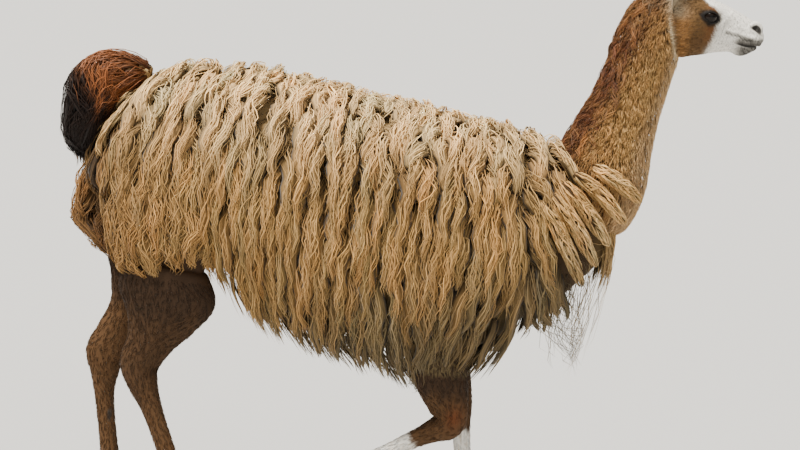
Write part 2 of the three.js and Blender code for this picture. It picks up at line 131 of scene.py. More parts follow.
LEG_STATIONS = {
    "foreleg_left": (
        (110, 105, 640, 66, 70, 52), (148, 88, 520, 60, 66, 46), (172, 76, 440, 44, 50, 38),
        (188, 68, 385, 37, 37, 33), (194, 64, 352, 34, 32, 32), (201, 60, 310, 27, 26, 25),
        (212, 54, 240, 24, 24, 21), (224, 49, 160, 24, 25, 22), (234, 46, FETLOCK, 28, 30, 27),
    ),
    "foreleg_right": (
        (92, -108, 640, 70, 74, 54), (112, -100, 530, 70, 72, 50), (138, -94, 450, 68, 66, 43),
        (158, -90, 392, 54, 52, 37), (158, -88, 350, 50, 38, 34), (122, -86, 322, 32, 28, 28),
        (72, -83, 290, 24, 24, 22), (8, -80, 248, 23, 24, 21), (-52, -78, 209, 27, 29, 26),
    ),
    "hindleg_left": (
        (-638, 114, 690, 60, 84, 50), (-640, 111, 630, 70, 86, 50), (-650, 108, 580, 58, 66, 46),
        (-664, 104, 520, 47, 48, 40), (-690, 100, 448, 50, 51, 36), (-706, 98, 400, 51, 56, 34),
        (-705, 96, 352, 38, 42, 29), (-702, 95, 290, 27, 29, 24), (-686, 94, 190, 25, 26, 22),
        (-668, 94, FETLOCK, 28, 30, 27),
    ),
    "hindleg_right": (
        (-540, -112, 690, 84, 104, 58), (-544, -110, 640, 112, 118, 58), (-548, -108, 590, 126, 114, 54),
        (-558, -106, 536, 94, 86, 47), (-576, -105, 478, 60, 60, 40), (-594, -104, 425, 50, 53, 35),
        (-582, -105, 376, 38, 42, 30), (-556, -107, 316, 28, 29, 25), (-516, -110, 224, 25, 26, 22),
        (-459, -112, FETLOCK, 28, 30, 27),
    ),
}
FOOT_TURNS = {  # about Y and about Z, in radians
    "foreleg_left": (0, 0.04), "foreleg_right": (1.32, 0), "hindleg_left": (0, 0.05),
    "hindleg_right": (0, -0.05),
}
# The pastern, the toe and the nail lie in the foot's own frame: its origin is the fetlock's centre.
PASTERN = ((20, 0, -34, 25, 26, 28), (46, 0, -62, 20, 22, 30))
TOE_LENGTH = 112
TOE_SPACING = 21
TOE_SPLAY = 0.07
TOE_STATIONS = (
    (-14, 0, 24 - FETLOCK, 26, 26, 20), (20, 0, 25 - FETLOCK, 30, 27, 20),
    (55, 0, 22 - FETLOCK, 27, 24, 20), (TOE_LENGTH - 22, 0, 17 - FETLOCK, 18, 19, 16),
)
NAIL_LENGTH = 30
NAIL_STATIONS = ((0, 0, 0, 9, 8, 9), (NAIL_LENGTH * 0.5, 0, -3, 9, 8, 8), (NAIL_LENGTH, 0, -12, 5, 4, 4))
EAR_BASE = (604, 50, 1388)
EAR_LENGTH = 186
EAR_HALF_WIDTH = 31
EAR_TURN = 0.95
EAR_THICKNESS = 0.16
EAR_CUP = 0.62

# How deep the coat is over the skin, in metres.
DEPTH = {"trunk": 0.046, "thigh": 0.036, "neck": 0.019, "tail": 0.024, "head": 0.0025, "leg": 0.004,
         "toe": 0.0015, "ear": 0.001, "roll": 0.007, "nail": 0.0}
# How many rings and sides each kind of surface has.
GRIDS = {"trunk": (64, 44), "thigh": (30, 32), "neck": (40, 40), "tail": (30, 24), "head": (250, 200),
         "leg": (90, 36), "toe": (36, 28), "ear": (56, 40), "roll": (24, 16), "nail": (36, 32)}


def unit(v):
    """The vectors v, each divided by its own length."""
    return v / np.maximum(np.linalg.norm(v, axis=-1, keepdims=True), 1e-9)


def smoothstep(x, low, high):
    """0 below low, 1 above high, and 3f^2 - 2f^3 between, where f is the way across."""
    f = np.clip((x - low) / (high - low), 0, 1)
    return f * f * (3 - 2 * f)


def catmull(points, t):
    """The smooth cubic through points, where t counts them: half the gap between a point's two
    neighbours is its slope."""
    padded = np.vstack([2 * points[:1] - points[1:2], points, 2 * points[-1:] - points[-2:-1]])
    i = np.clip(t.astype(int), 0, len(points) - 2)
    f = (t - i)[..., None]
    a, b, c, d = padded[i], padded[i + 1], padded[i + 2], padded[i + 3]
    return b + 0.5 * f * (c - a) + f**2 * (a - 2.5 * b + 2 * c - 0.5 * d) + f**3 * (
        1.5 * (b - c) + 0.5 * (d - a))


def rounded(distance, length):
    """Height of a quarter circle over a place: 0 at its tip, 1 beyond length."""
    return np.sqrt(np.clip(1 - np.clip(1 - distance / length, 0, 1) ** 2, 0, 1))


def drawn(points):
    """The points back in the drawing's own place, in millimetres, with y as the distance from the
    middle plane."""
    q = (np.asarray(points) - SHIFT) / MM
    return q[..., 0], np.abs(q[..., 1]), q[..., 2]


class Limb:
    """A body part as rings round a line: at(s, angle, depth) gives the point a part s of the way
    along, turned by angle from the back towards the animal's left, and depth under the surface."""

    def __init__(self, stations, ends, power=2.0, place=None):
        table = np.array(stations, float) * MM
        self.line = table[:, :3] + (0 if place is not None else SHIFT)
        self.reach = table[:, 3:]
        self.ends = np.array(ends) * MM
        self.power = power
        self.place = place
        self.fine = np.linspace(0, len(table) - 1, 400)
        steps = np.linalg.norm(np.diff(catmull(self.line, self.fine), axis=0), axis=1)
        self.run = np.concatenate([[0], np.cumsum(steps)])
        self.length = self.run[-1]

    def at(self, s, angle, depth=0.0):
        """Points; the line's point plus the reach along the ring's upright and sideways axes, with
        cosine and sine raised to 2/power so that a power over 2 squares the ring."""
        s = np.clip(s, 0, 1)
        turn = np.interp(s * self.length, self.run, self.fine)
        middle = catmull(self.line, turn)
        step = 0.02
        way = catmull(self.line, np.minimum(turn + step, self.fine[-1])) - catmull(
            self.line, np.maximum(turn - step, 0))
        slant = np.hypot(way[..., 0], way[..., 2])
        back, belly, side = np.moveaxis(catmull(self.reach, turn), -1, 0)
        close = rounded(self.length * s, self.ends[0]) * rounded(self.length * (1 - s), self.ends[1])
        cos, sin = np.cos(angle), np.sin(angle)
        up = np.sign(cos) * np.abs(cos) ** (2 / self.power)
        out = np.sign(sin) * np.abs(sin) ** (2 / self.power)
        n = up * (np.where(up > 0, back, belly) - depth) * close
        m = out * (side - depth) * close
        ends = np.where(s < 0.5, depth, -depth) * (1 - close)
        point = middle + np.stack([(way[..., 0] * ends - way[..., 2] * n) / slant, m,
                                   (way[..., 2] * ends + way[..., 0] * n) / slant], -1)
        return point if self.place is None else point @ self.place[:3, :3].T + self.place[:3, 3]

    def spans(self, s, angle, depth, at=None):
        """How far a point moves for a whole s and for one radian of angle, and the way out, found
        from the points that at, or else the limb's own at, gives a small step to either side."""
        at = at or self.at
        small = 0.004
        along = (at(s + small, angle, depth) - at(s - small, angle, depth)) / (2 * small)
        around = (at(s, angle + small, depth) - at(s, angle - small, depth)) / (2 * small)
        return along, around, unit(np.cross(along, around))


def foot_place(name):
    """The matrix that puts the foot's own frame at the end of the named leg."""
    tilt, turn = FOOT_TURNS[name]
    fetlock = Vector(np.array(LEG_STATIONS[name][-1][:3]) * MM + SHIFT)
    return np.array(Matrix.Translation(fetlock) @ Matrix.Rotation(turn, 4, "Z")
                    @ Matrix.Rotation(tilt, 4, "Y"))


def leg_stations(name):
    """The named leg's stations, and after them those of the pastern, turned with the foot."""
    tilt = FOOT_TURNS[name][0]
    x, y, z = LEG_STATIONS[name][-1][:3]
    c, s = math.cos(tilt), math.sin(tilt)
    turned = [(x + p[0] * c + p[2] * s, y, z - p[0] * s + p[2] * c, *p[3:]) for p in PASTERN]
    return (*LEG_STATIONS[name], *turned)


def toe_place(name, side):
    """The matrix that puts a toe beside its fellow on the named leg's foot."""
    return foot_place(name) @ np.array(Matrix.Translation((0, side * TOE_SPACING * MM, 0))
                                       @ Matrix.Rotation(side * TOE_SPLAY, 4, "Z"))


def nail_place(name, side):
    """The matrix that puts a nail at the end of its toe."""
    forward = Matrix.Translation(((TOE_LENGTH - 40) * MM, 0, (24 - FETLOCK) * MM))
    return toe_place(name, side) @ np.array(forward)


TRUNK = Limb(TRUNK_STATIONS, (70, 44), 2.5)
# Heavy rolls of wool from the withers to the chest, on either side: x and z at both ends of each.
ROLL_LINES = ((432, 1012, 572, 930), (396, 992, 540, 878), (370, 972, 502, 824), (346, 946, 478, 772),
              (324, 930, 448, 722))
ROLL_RADII = (14, 18, 19, 17, 9)
ROLL_SINK = (24, 10, 6, 5, 5)
ROLL_ARCH = 10
# The lower edge of the chest's wool, as x and z; only loose wisps hang lower.
CHEST_HEM = ((250, 0), (330, 560), (396, 650), (486, 750), (545, 850))


def side_reach(x, z):
    """How far the trunk or the neck reaches sideways at (x, z) of the drawing, in millimetres."""
    s, angle = np.meshgrid(np.linspace(0, 1, 120), np.linspace(0, np.pi, 90))
    best = 0.0
    for limb in (TRUNK, NECK):
        at_x, at_y, at_z = drawn(limb.at(s, angle))
        near = np.hypot(at_x - x, at_z - z) < 16
        if near.any():
            best = max(best, at_y[near].max())
    return best


def roll(line, side):
    """A roll of wool as a limb laid on the side of the chest along its line."""
    x0, z0, x1, z1 = line
    stations = []
    for t, radius, sink in zip(np.linspace(0, 1, len(ROLL_RADII)), ROLL_RADII, ROLL_SINK):
        x = x0 + (x1 - x0) * t
        z = z0 + (z1 - z0) * t + ROLL_ARCH * math.sin(math.pi * t)
        stations.append((x, side * (side_reach(x, z) - sink), z, radius, radius, radius))
    return Limb(stations, (10, 10))


THIGHS = {side: Limb(THIGH_STATIONS[side], (70, 30), 2.3) for side in SIDES}
NECK = Limb(NECK_STATIONS, (46, 30), 2.15)
TAIL = Limb(TAIL_STATIONS, (46, 30), 2.2)
LEGS = {name: Limb(leg_stations(name), (30, 16), 2.1) for name in LEG_NAMES}
ROLLS = [roll(line, side) for side in SIDES for line in ROLL_LINES]


# ------------------------------------------------------------------------------ mesh making
def surface(points, name):
    """A closed mesh from a grid of rings: points[0] and points[-1] are rings shrunk to a pole."""
    rings, sides = points.shape[:2]
    verts = np.vstack([points[0, :1], points[1:-1].reshape(-1, 3), points[-1, :1]])
    i = np.arange(rings - 3)[:, None] * sides + 1
    j = np.arange(sides)[None]
    k = (j + 1) % sides
    quads = np.stack([i + k, i + j, i + sides + j, i + sides + k], -1).reshape(-1, 4)
    last = 1 + (rings - 3) * sides
    first_fan = np.stack([np.zeros(sides, int), 1 + j[0], 1 + k[0]], -1)
    last_fan = np.stack([np.full(sides, len(verts) - 1), last + k[0], last + j[0]], -1)
    return new_mesh(name, verts, quads, np.vstack([first_fan, last_fan]))


def new_mesh(name, verts, quads, triangles):
    """A smooth mesh object from arrays of vertices, four-cornered and three-cornered faces."""
    mesh = bpy.data.meshes.new(name)
    mesh.vertices.add(len(verts))
    mesh.vertices.foreach_set("co", np.asarray(verts, np.float32).ravel())
    corners = np.concatenate([quads.ravel(), triangles.ravel()]).astype(np.int32)
    starts = np.concatenate([np.arange(len(quads)) * 4,
                             len(quads) * 4 + np.arange(len(triangles)) * 3]).astype(np.int32)
    mesh.loops.add(len(corners))
    mesh.loops.foreach_set("vertex_index", corners)
    mesh.polygons.add(len(starts))
    mesh.polygons.foreach_set("loop_start", starts)
    mesh.update(calc_edges=True)
    mesh.shade_smooth()
    obj = bpy.data.objects.new(name, mesh)
    bpy.context.scene.collection.objects.link(obj)
    return obj


def ring_grid(rings, sides):
    """Places along and angles round for a closed surface, closer together near both ends."""
    t = np.linspace(0, 1, rings + 1)
    s = (t + (1 - np.cos(np.pi * t)) / 2) / 2
    angle = np.linspace(0, 2 * np.pi, sides, endpoint=False)
    return np.broadcast_arrays(s[:, None], angle[None])


def limb_mesh(limb, kind, name):
    """The limb's surface, the coat's depth of that kind under its outline."""
    return surface(limb.at(*ring_grid(*GRIDS[kind]), DEPTH[kind]), name)


def joined(objects, name):
    """One mesh object that encloses all the closed ones given, which are removed."""
    group = bpy.data.collections.new(name + "_parts")
    bpy.context.scene.collection.children.link(group)
    for obj in objects[1:]:
        bpy.context.scene.collection.objects.unlink(obj)
        group.objects.link(obj)
    union = objects[0].modifiers.new("union", "BOOLEAN")
    union.operation = "UNION"
    union.operand_type = "COLLECTION"
    union.collection = group
    union.solver = "MANIFOLD"
    seen = objects[0].evaluated_get(bpy.context.evaluated_depsgraph_get())
    mesh = bpy.data.meshes.new_from_object(seen)
    made = bpy.data.objects.new(name, mesh)
    for obj in objects:
        bpy.data.objects.remove(obj)
    bpy.data.collections.remove(group)
    bpy.context.scene.collection.objects.link(made)
    mesh.shade_smooth()
    return made


# ------------------------------------------------------------------------------ markings
def along_line(x, z, line):
    """Distance from (x, z) to the open polyline given, in its own units."""
    best = np.full(np.shape(x), 1e9)
    for (x0, z0), (x1, z1) in zip(line, line[1:]):
        dx, dz = x1 - x0, z1 - z0
        f = np.clip(((x - x0) * dx + (z - z0) * dz) / (dx * dx + dz * dz), 0, 1)
        best = np.minimum(best, np.hypot(x - x0 - f * dx, z - z0 - f * dz))
    return best


def rough(points, size, seed=0.0):
    """A soft wavy value from -1 to 1: five sine waves in set directions, size apart in metres."""
    p = np.asarray(points) / size * 2 * np.pi
    total = 0
    for k in range(5):
        turn = 2.4 * k + seed
        way = np.array([math.cos(turn), math.sin(1.7 * turn), math.sin(turn + 0.8 * k)])
        total = total + np.sin(p @ way * (1 + 0.37 * k) + 1.9 * k + seed) / 5
    return total * 1.6


def blend(base, colour, mask):
    """base, changed to colour where mask is 1."""
    return base + (np.array(colour) - base) * np.asarray(mask)[..., None]


def layered(colour, *layers):
    """colour with the layers laid over it in turn, each a colour and the mask that shows it."""
    for over, mask in layers:
        colour = blend(colour, over, mask)
    return colour


def eye_frame(points, side):
    """Forwards, upwards and outwards places from the eye's centre, in millimetres, for one side."""
    q = (np.asarray(points) - SHIFT) / MM - EYE_AT / MM * np.array([1, side, 1])
    out = unit(np.array(EYE_GAZE) * np.array([1, side, 1]))
    forwards = unit(np.cross(np.array([0, 0, 1.0]), out) * -side)
    upwards = np.cross(forwards, out) * side
    return q @ forwards, q @ upwards, q @ out, (forwards, upwards, out)


def eye_opening(a, b):
    """1 at the edge of the almond between the lids, less inside it and more outside."""
    return np.sqrt(np.abs(a / EYE_HALF_LENGTH) ** 1.7
                   + np.abs((b + EYE_SLANT * a + 1.4) / EYE_HALF_HEIGHT) ** 2)


NOSTRIL = (805.5, 1368.5)
MOUTH = ((752, 1334), (766, 1329), (781, 1326.5), (812, 1326), (840, 1325))
# On the muzzle: x and z of a swelling or hollow, its length and height, and how far it stands out.
MUZZLE_SWELLINGS = ((812, 1383, 8, 6, 2.6), (824, 1364, 6, 5, -2.4), (820, 1347, 9, 8, 2.4),
                    (786, 1347, 16, 6, 1.6), (800, 1316, 14, 6, 1.2), (762, 1316, 9, 6, -1.4),
                    (735, 1372, 16, 14, -1.6), (752, 1392, 22, 7, 1.2))
LIP_FOLD = ((733, 1354), (749, 1350), (764, 1348), (779, 1344), (795, 1339))
UPPER_LIP = ((772, 1336), (800, 1335), (830, 1337))
# Where the white of the face ends: heights, and x at each.
FACE_EDGE = ((1290, 1346, 1383, 1398, 1410, 1424, 1450), (688, 702, 709, 711, 696, 671, 650))
# The neck's middle line: heights, and x at each.
NECK_MIDDLE = ((850, 985, 1165, 1300, 1430), (424, 466, 512, 544, 612))
JAW_EDGE = ((598, 1385), (606, 1345), (622, 1308), (650, 1296))
FACE_VEIN = ((742, 1400), (722, 1376), (714, 1350), (700, 1330))


def nostril_opening(x, z):
    """1 at the nostril's edge: an ellipse that slants down forwards."""
    dx, dz = x - NOSTRIL[0], z - NOSTRIL[1]
    a, b = 0.88 * dx - 0.47 * dz, 0.47 * dx + 0.88 * dz
    return np.hypot((a - 1.5) / 14.0, (b + 0.03 * a * a - 1.5) / 8.0)


def ear_foot(x, y, z):
    """How far the ear's pale hair runs down over the head and neck: a bell curve over x that fades
    in above the jaw's corner and towards the sides."""
    across = bell((x - EAR_BASE[0] + 0.3 * (z - 1400)) / 25)
    return 0.85 * across * smoothstep(z, 1366, 1398) * smoothstep(y, 16, 36)


def filled(x, colour):
    """The one colour at every place of x."""
    return np.broadcast_to(np.array(colour), (*np.shape(x), 3))


def bell(*ratios):
    """A bell curve of all the ratios together: the exponential of minus the sum of their squares."""
    return np.exp(-sum(ratio**2 for ratio in ratios))


def trunk_marks(points, coat):
    """Pale on the back, golden behind, greyer under the belly, and darker in the crease by the tail as
    painted shade.
    """
    x, y, z = drawn(points)
    wave = rough(points, 0.05)
    top = smoothstep(z + 18 * wave, 940, 1120)
    rear = smoothstep(-x + 30 * wave, 420, 700) * (1 - 0.6 * top)
    low = smoothstep(-z + 35 * wave + 0.25 * x, -830, -610) * (1 - smoothstep(-x, 380, 520))
    chest = smoothstep(x + 20 * wave, 330, 470) * smoothstep(-z, -1000, -820) * smoothstep(z, 740, 860)
    # Painted shade: darker in the crease between the rump and the tail.
    crease_shade = smoothstep(-x, 650, 680) * (1 - smoothstep(y, 85, 125)) * smoothstep(-z, -1010, -930)
    return layered(filled(x, coat.fleece), (coat.pale_fleece, 0.75 * top), (coat.golden_brown, 0.4 * rear),
                   (coat.belly, 0.9 * low), (coat.pale_fleece, 0.3 * chest), (coat.dark_brown, 0.8 * crease_shade))


def thigh_marks(points, coat):
    """The trunk's colours, golden on the far thigh's rear, with painted shade darkening both inner sides."""
    x, y, z = drawn(points)
    far = smoothstep(np.asarray(points)[..., 1] / MM, 40, 90) * smoothstep(-x, 560, 640)
    # Painted shade: darker on the thighs' inner sides.
    inner_shade = (1 - smoothstep(y, 50, 110)) * smoothstep(-z, -900, -700)
    return layered(trunk_marks(points, coat), (coat.golden_brown, 0.6 * far), (coat.dark_brown, 0.6 * inner_shade))


def tail_marks(points, coat):
    """Nearly black, under a red-brown top with a streaked edge."""
    x, _, z = drawn(points)
    streak = rough(np.asarray(points) * np.array([1, 1, 0.12]), 0.03, 3.0)
    top = smoothstep(z + 0.9 * (x + 800) + 30 * rough(points, 0.05) + 26 * streak, 1075, 1150)
    return blend(filled(x, coat.tail), coat.tail_top, 0.92 * top)


def neck_marks(points, coat):
    """Auburn down the nape, fawn on the sides, pale on the throat, cream behind the jaw; the pale throat is
    partly a painted highlight along the neck's front edge, the cream line partly one where the neck meets the
    cheek.
    """
    x, y, z = drawn(points)
    wave = rough(points, 0.05)
    low = 1 - smoothstep(z + 30 * wave, 940, 1080)
    across = x - np.interp(z, *NECK_MIDDLE) + 7.5 * wave
    upper = smoothstep(z, 1200, 1290) * (1 - smoothstep(across, 20, 60))
    nape = smoothstep(-across, -22, 38) * smoothstep(-y - 0.35 * across, -78, -32)
    nape = nape * (0.75 + 0.25 * smoothstep(rough(points, 0.085, 5.0), -0.5, 0.4))
    # The cream line behind the jaw is partly a painted highlight where the neck meets the cheek.
    behind_jaw = bell(behind_cheek(x, z) / 6) * smoothstep(z, 1240, 1300) * smoothstep(-z, -1396, -1372)
    return layered(filled(x, coat.neck), (coat.golden_brown, 0.7 * low),
                   (coat.fleece, 0.7 * smoothstep(across, -25, 40)),
                   # The pale throat is partly a painted highlight along the neck's front edge.
                   (coat.throat, 0.6 * smoothstep(across, 40, 92)),
                   (coat.golden_brown, 0.45 * upper),
                   (coat.auburn, nape * (1 - 0.3 * smoothstep(z, 1290, 1400))),
                   (coat.cream, 0.8 * behind_jaw), (coat.ear, ear_foot(x, y, z)))


def ear_marks(points, coat):
    """The ears' own colour, greyer in the hollow as painted shade."""
    x, y, _ = drawn(points)
    # Painted shade: greyer in the ear's hollow.
    hollow = smoothstep(x - EAR_BASE[0] + 0.4 * (y - EAR_BASE[1]), -14, 6)
    return blend(filled(x, coat.ear), coat.grey, 0.3 * hollow)


def behind_cheek(x, z):
    """How far behind or before the cream line along the head's rear a place is, in millimetres."""
    return x - 606 + 0.26 * (z - 1330)


def cheek_marks(points, coat):
    """The brown side of the head with its softer patches and a darker patch by the jaw that is painted
    shade, the cream line that is partly painted highlight, and the white of the face and jaw.
    """
    x, y, z = drawn(points)
    wave = rough(points, 0.05)
    fine = rough(points, 0.013, 1.0)
    rear = smoothstep(-x + 6 * wave, -655, -600) * smoothstep(z, 1330, 1400)
    edge = np.interp(z, *FACE_EDGE) + 4 * wave + 3 * fine
    crown = smoothstep(z + 0.2 * x, 1570, 1590) * (1 - smoothstep(y + 3 * wave, 14, 30))
    blaze = np.maximum(smoothstep(x - edge, -7, 9), crown * smoothstep(x, 640, 680))
    jaw = smoothstep(-z + 0.15 * (x - 700) + 4 * wave, -1330, -1312) * smoothstep(x, 675, 720)
    golden = bell((x - 628 + 0.1 * (z - 1340)) / 17) * smoothstep(-z, -1412, -1385)
    ruddy = bell((x - 690 + 4 * wave) / 14, (z - 1342 + 5 * fine) / 20)
    # The cream line is partly a painted highlight where the neck meets the cheek.
    cream = bell((behind_cheek(x, z) + 4) / 7) * smoothstep(-z, -1400, -1350)
    return layered(filled(x, coat.cheek), (coat.golden_brown, 0.8 * rear),
                   (coat.auburn, 0.75 * bell((x - 696) / 16, (z - 1410) / 7)),
                   (coat.white, blaze), (coat.white, 0.9 * jaw), (coat.golden_brown, 0.9 * golden),
                   # Painted shade: a darker patch low on the cheek, by the jaw.
                   (coat.leg, 0.6 * bell((x - 668 + 5 * wave) / 24, (z - 1322) / 24)),
                   (coat.auburn, 0.35 * ruddy), (coat.cream, 0.85 * cream), (coat.ear, ear_foot(x, y, z)))


def muzzle_marks(points, coat, colour):
    """colour with the grey of the lips, chin and nostrils' rims, and specks, and painted shade: the dark
    mouth line, the dark insides of the nostrils and grey in the lip's fold.
    """
    x, _, z = drawn(points)
    fine = rough(points, 0.013, 1.0)
    line = along_line(x, z, MOUTH)
    chin = smoothstep(-line, -40, -22) * smoothstep(x, 748, 780) * smoothstep(-z, -1328, -1322)
    lip = smoothstep(-line, -17, -3) * smoothstep(x, 740, 785) * smoothstep(z, 1322, 1328)
    mottled = 0.88 + 0.12 * smoothstep(rough(points, 0.009, 6.0), -0.4, 0.5)
    # Painted shade: dark along the mouth line, between the lips.
    gap = smoothstep(-line, -4.0, -1.5) * smoothstep(x, 752, 775)
    specks = smoothstep(rough(points, 0.0075, 3.0) + 0.5 * fine, 0.55, 0.85) * smoothstep(x, 690, 720)
    # Painted shade: grey along the lip's fold.
    fold_shade = smoothstep(-along_line(x, z, LIP_FOLD), -9, -1) * (0.7 + 0.3 * fine)
    upper = smoothstep(-along_line(x, z, UPPER_LIP), -16, -4) * smoothstep(z, 1327, 1330)
    nose = smoothstep(x, 780, 790)
    rim = smoothstep(-nostril_opening(x, z), -2.1, -1.2) * nose
    # Painted shade: dark inside the nostrils.
    inside = (1 - smoothstep(nostril_opening(x, z), 0.75, 1.25)) * nose
    return layered(colour, (coat.grey, (0.97 * chin + 0.85 * lip * (1 - chin)) * mottled),
                   (coat.dark, 0.85 * gap), (coat.grey, 0.45 * specks), (coat.grey, 0.75 * fold_shade),
                   (coat.grey, 0.85 * upper * mottled), (coat.grey, 0.4 * rim), (coat.dark, 0.95 * inside))


def head_marks(points, coat):
    """The cheek's and muzzle's colours, with dark bare skin and lashes round both eyes."""
    colour = muzzle_marks(points, coat, cheek_marks(points, coat))
    fine = rough(points, 0.013, 1.0)
    for side in SIDES:
        a, b, out, _ = eye_frame(points, side)
        near = smoothstep(out, -8, 2)
        bare = 1 - smoothstep(eye_opening(a, b) + 0.12 * fine, 1.3, 2.0)
        tear = bell((a + 3) / 12, (b + 17) / 8)
        lash = bell((a + 4) / 20, (b - 10 + 0.12 * a) / 4.5)
        rear_corner = bell((a + 22) / 8, (b - 4) / 4)
        lined = np.maximum(np.maximum(tear, lash), rear_corner)
        colour = layered(colour, (coat.dark, near * bare), (coat.dark, 0.92 * near * lined),
                         (coat.auburn, 0.5 * near * bell((a - 4) / 18, (b + 29) / 5)))
    return colour


def leg_marks(points, coat):
    """Brown, darker above, with an auburn knee, white socks and feet, and the hind legs' glands; the dark
    top of the hind legs is partly painted shade under the thighs, and the near right hind leg is darkened as
    painted shade.
    """
    x, y, z = drawn(points)
    wave = rough(points, 0.05)
    fine = rough(points, 0.013, 1.0)
    hind = x < -300
    right = np.asarray(points)[..., 1] < 0
    height = np.where(right, 0.84 * x + 0.545 * z - 226, z - 300) + 6 * wave + 4 * fine
    gland = np.hypot((x + 684) / 6, (z - 246) / 17) + 6 * (y < 60)
    return layered(filled(x, coat.leg),
                   # Partly painted shade: darker at the top of the hind legs, under the thighs.
                   (coat.dark_brown, 0.8 * smoothstep(z + 30 * wave, 500, 590) * hind),
                   (coat.dark_brown, 0.85 * smoothstep(z + 20 * wave, 385, 440) * ~hind),
                   # Painted shade: the near right hind leg darker.
                   (coat.dark_brown, 0.5 * right * hind * smoothstep(z + 30 * wave, 250, 450)),
                   (coat.auburn, 0.9 * bell((z - 368) / 26, (x - 176) / 20) * ~hind),
                   (coat.white, 0.95 * smoothstep(-height, -9, 9) * ~hind * (z < 420)),
                   (coat.white, 0.75 * smoothstep(-z + 10 * wave, -150, -95) * hind),
                   (coat.grey, 0.8 * (1 - smoothstep(gland, 0.7, 1.2)) * (x < -600)))


MARKS = {"trunk": trunk_marks, "neck": neck_marks, "head": head_marks, "tail": tail_marks,
         "leg": leg_marks, "thigh": thigh_marks, "ear": ear_marks}


def markings(points, part):
    """The coat's colours at points of the named part, each a mix of the named colours by soft masks
    in the drawing's own millimetres."""
    return MARKS[part](points, bpy.context.scene.llama_colours)


def paint(obj, colours):
    """Gives each vertex its colour, as the attribute that the coat and skin finishes read."""
    data = obj.data.attributes.new("Marking", "FLOAT_COLOR", "POINT")
    rgba = np.ones((len(obj.data.vertices), 4), np.float32)
    rgba[:, :3] = colours
    data.data.foreach_set("color", rgba.ravel())


def places(obj):
    """The mesh's vertices as an array."""
    flat = np.empty(len(obj.data.vertices) * 3, np.float32)
    obj.data.vertices.foreach_get("co", flat)
    return flat.reshape(-1, 3).astype(float)


def move_to(obj, points):
    """Puts the mesh's vertices at points."""
    obj.data.vertices.foreach_set("co", points.astype(np.float32).ravel())


# ------------------------------------------------------------------------------ skin
# On the head: how far along and round a swelling lies, its length and width there, its height in mm.
HEAD_SWELLINGS = (
    (0.50, 0.98, 0.085, 0.32, 7), (0.45, 1.55, 0.16, 0.40, 3), (0.28, 2.10, 0.15, 0.50, 5),
    (0.64, 1.80, 0.09, 0.45, -4), (0.93, 0.95, 0.05, 0.40, 4), (0.95, 1.70, 0.06, 0.35, 4),
    (0.84, 2.60, 0.06, 0.50, 3),
)


def head_swell(s, angle):
    """The head's soft swellings: the sum of bell curves over place and turn, in metres."""
    turn = np.abs(np.arctan2(np.sin(angle), np.cos(angle)))
    return sum(height * MM * bell((s - at) / long, (turn - round_) / wide)
               for at, round_, long, wide, height in HEAD_SWELLINGS)


def features(x, y, z):
    """How far the lips, nostrils, folds and swellings stand out at a place of the head, in
    millimetres: a sum of bell curves over the distance from each feature's line or middle."""
    mouth = along_line(x, z, MOUTH)
    above_fold = along_line(x, z, [(p, q + 6) for p, q in LIP_FOLD])
    hole = nostril_opening(x, z)
    nose = smoothstep(x, 782, 792)
    cleft = bell(y / 1.8) * smoothstep(x, 806, 816) * smoothstep(z, 1326, 1334)
    swellings = sum(height * bell((x - at_x) / wide, (z - at_z) / tall)
                    for at_x, at_z, wide, tall, height in MUZZLE_SWELLINGS)
    return (swellings - 4.2 * bell(mouth / 2.0) * smoothstep(x, 748, 760)
            + 1.6 * bell((mouth - 6) / 4) * smoothstep(x, 758, 790)
            - 1.7 * bell(along_line(x, z, LIP_FOLD) / 2.6) + 1.2 * bell(above_fold / 4)
            - 9.0 * (1 - smoothstep(hole, 0.35, 1.15)) * nose + 1.9 * bell((hole - 1.6) / 0.45) * nose
            - 2.6 * cleft * (1 - smoothstep(z, 1356, 1364))
            - 3.0 * bell(along_line(x, z, JAW_EDGE) / 7) + 0.9 * bell(along_line(x, z, FACE_VEIN) / 3.2))


def lidded(points, side, fur):
    """The points near one eye drawn to the higher of the lid's sphere and the face by a smooth
    maximum, with two folds in the lid, and sunk behind the eyeball inside the opening."""
    ball = EYE_RADIUS / MM
    a, b, out, (_, _, axis) = eye_frame(points, side)
    span = np.hypot(a, b)
    reach = ball + 1.7 + fur
    over = np.sqrt(np.clip(reach**2 - span**2, 0, None)) - 0.9 * np.clip(span - reach, 0, None)
    opening = eye_opening(a, b)
    lid = 0.5 * (over + out + np.sqrt((over - out) ** 2 + 3.2**2))
    lid = lid - 1.3 * bell((opening - 1.62) / 0.14) - 0.7 * bell((opening - 2.05) / 0.16)
    sunk = np.sqrt(np.clip(ball**2 - span**2, 0, None)) - 4.5
    target = sunk + (lid - sunk) * smoothstep(opening, 0.92, 1.12)
    weight = (1 - smoothstep(span, 24, 36)) * (out > -14)
    return points + axis * ((target - out) * weight)[..., None] * MM


class Face(Limb):
    """The head, with lids over the eyeball's sphere, nostrils, lips and folds pressed in or raised
    along the surface's own way out."""

    def at(self, s, angle, depth=0.0):
        """The limb's point moved along the way out by the sum of the features' heights, then drawn
        to each eye's lids."""
        points = super().at(s, angle, depth - head_swell(s, angle))
        way = self.spans(s, angle, depth, super().at)[2]
        lift = features(*drawn(points)) + 0.35 * rough(points, 0.012, 2.0)
        points = points + way * lift[..., None] * MM
        fur = 0.8 * (DEPTH["head"] - depth) / MM
        for side in SIDES:
            points = lidded(points, side, fur)
        return points


FACE = Face(HEAD_STATIONS, (34, 14), 2.15)


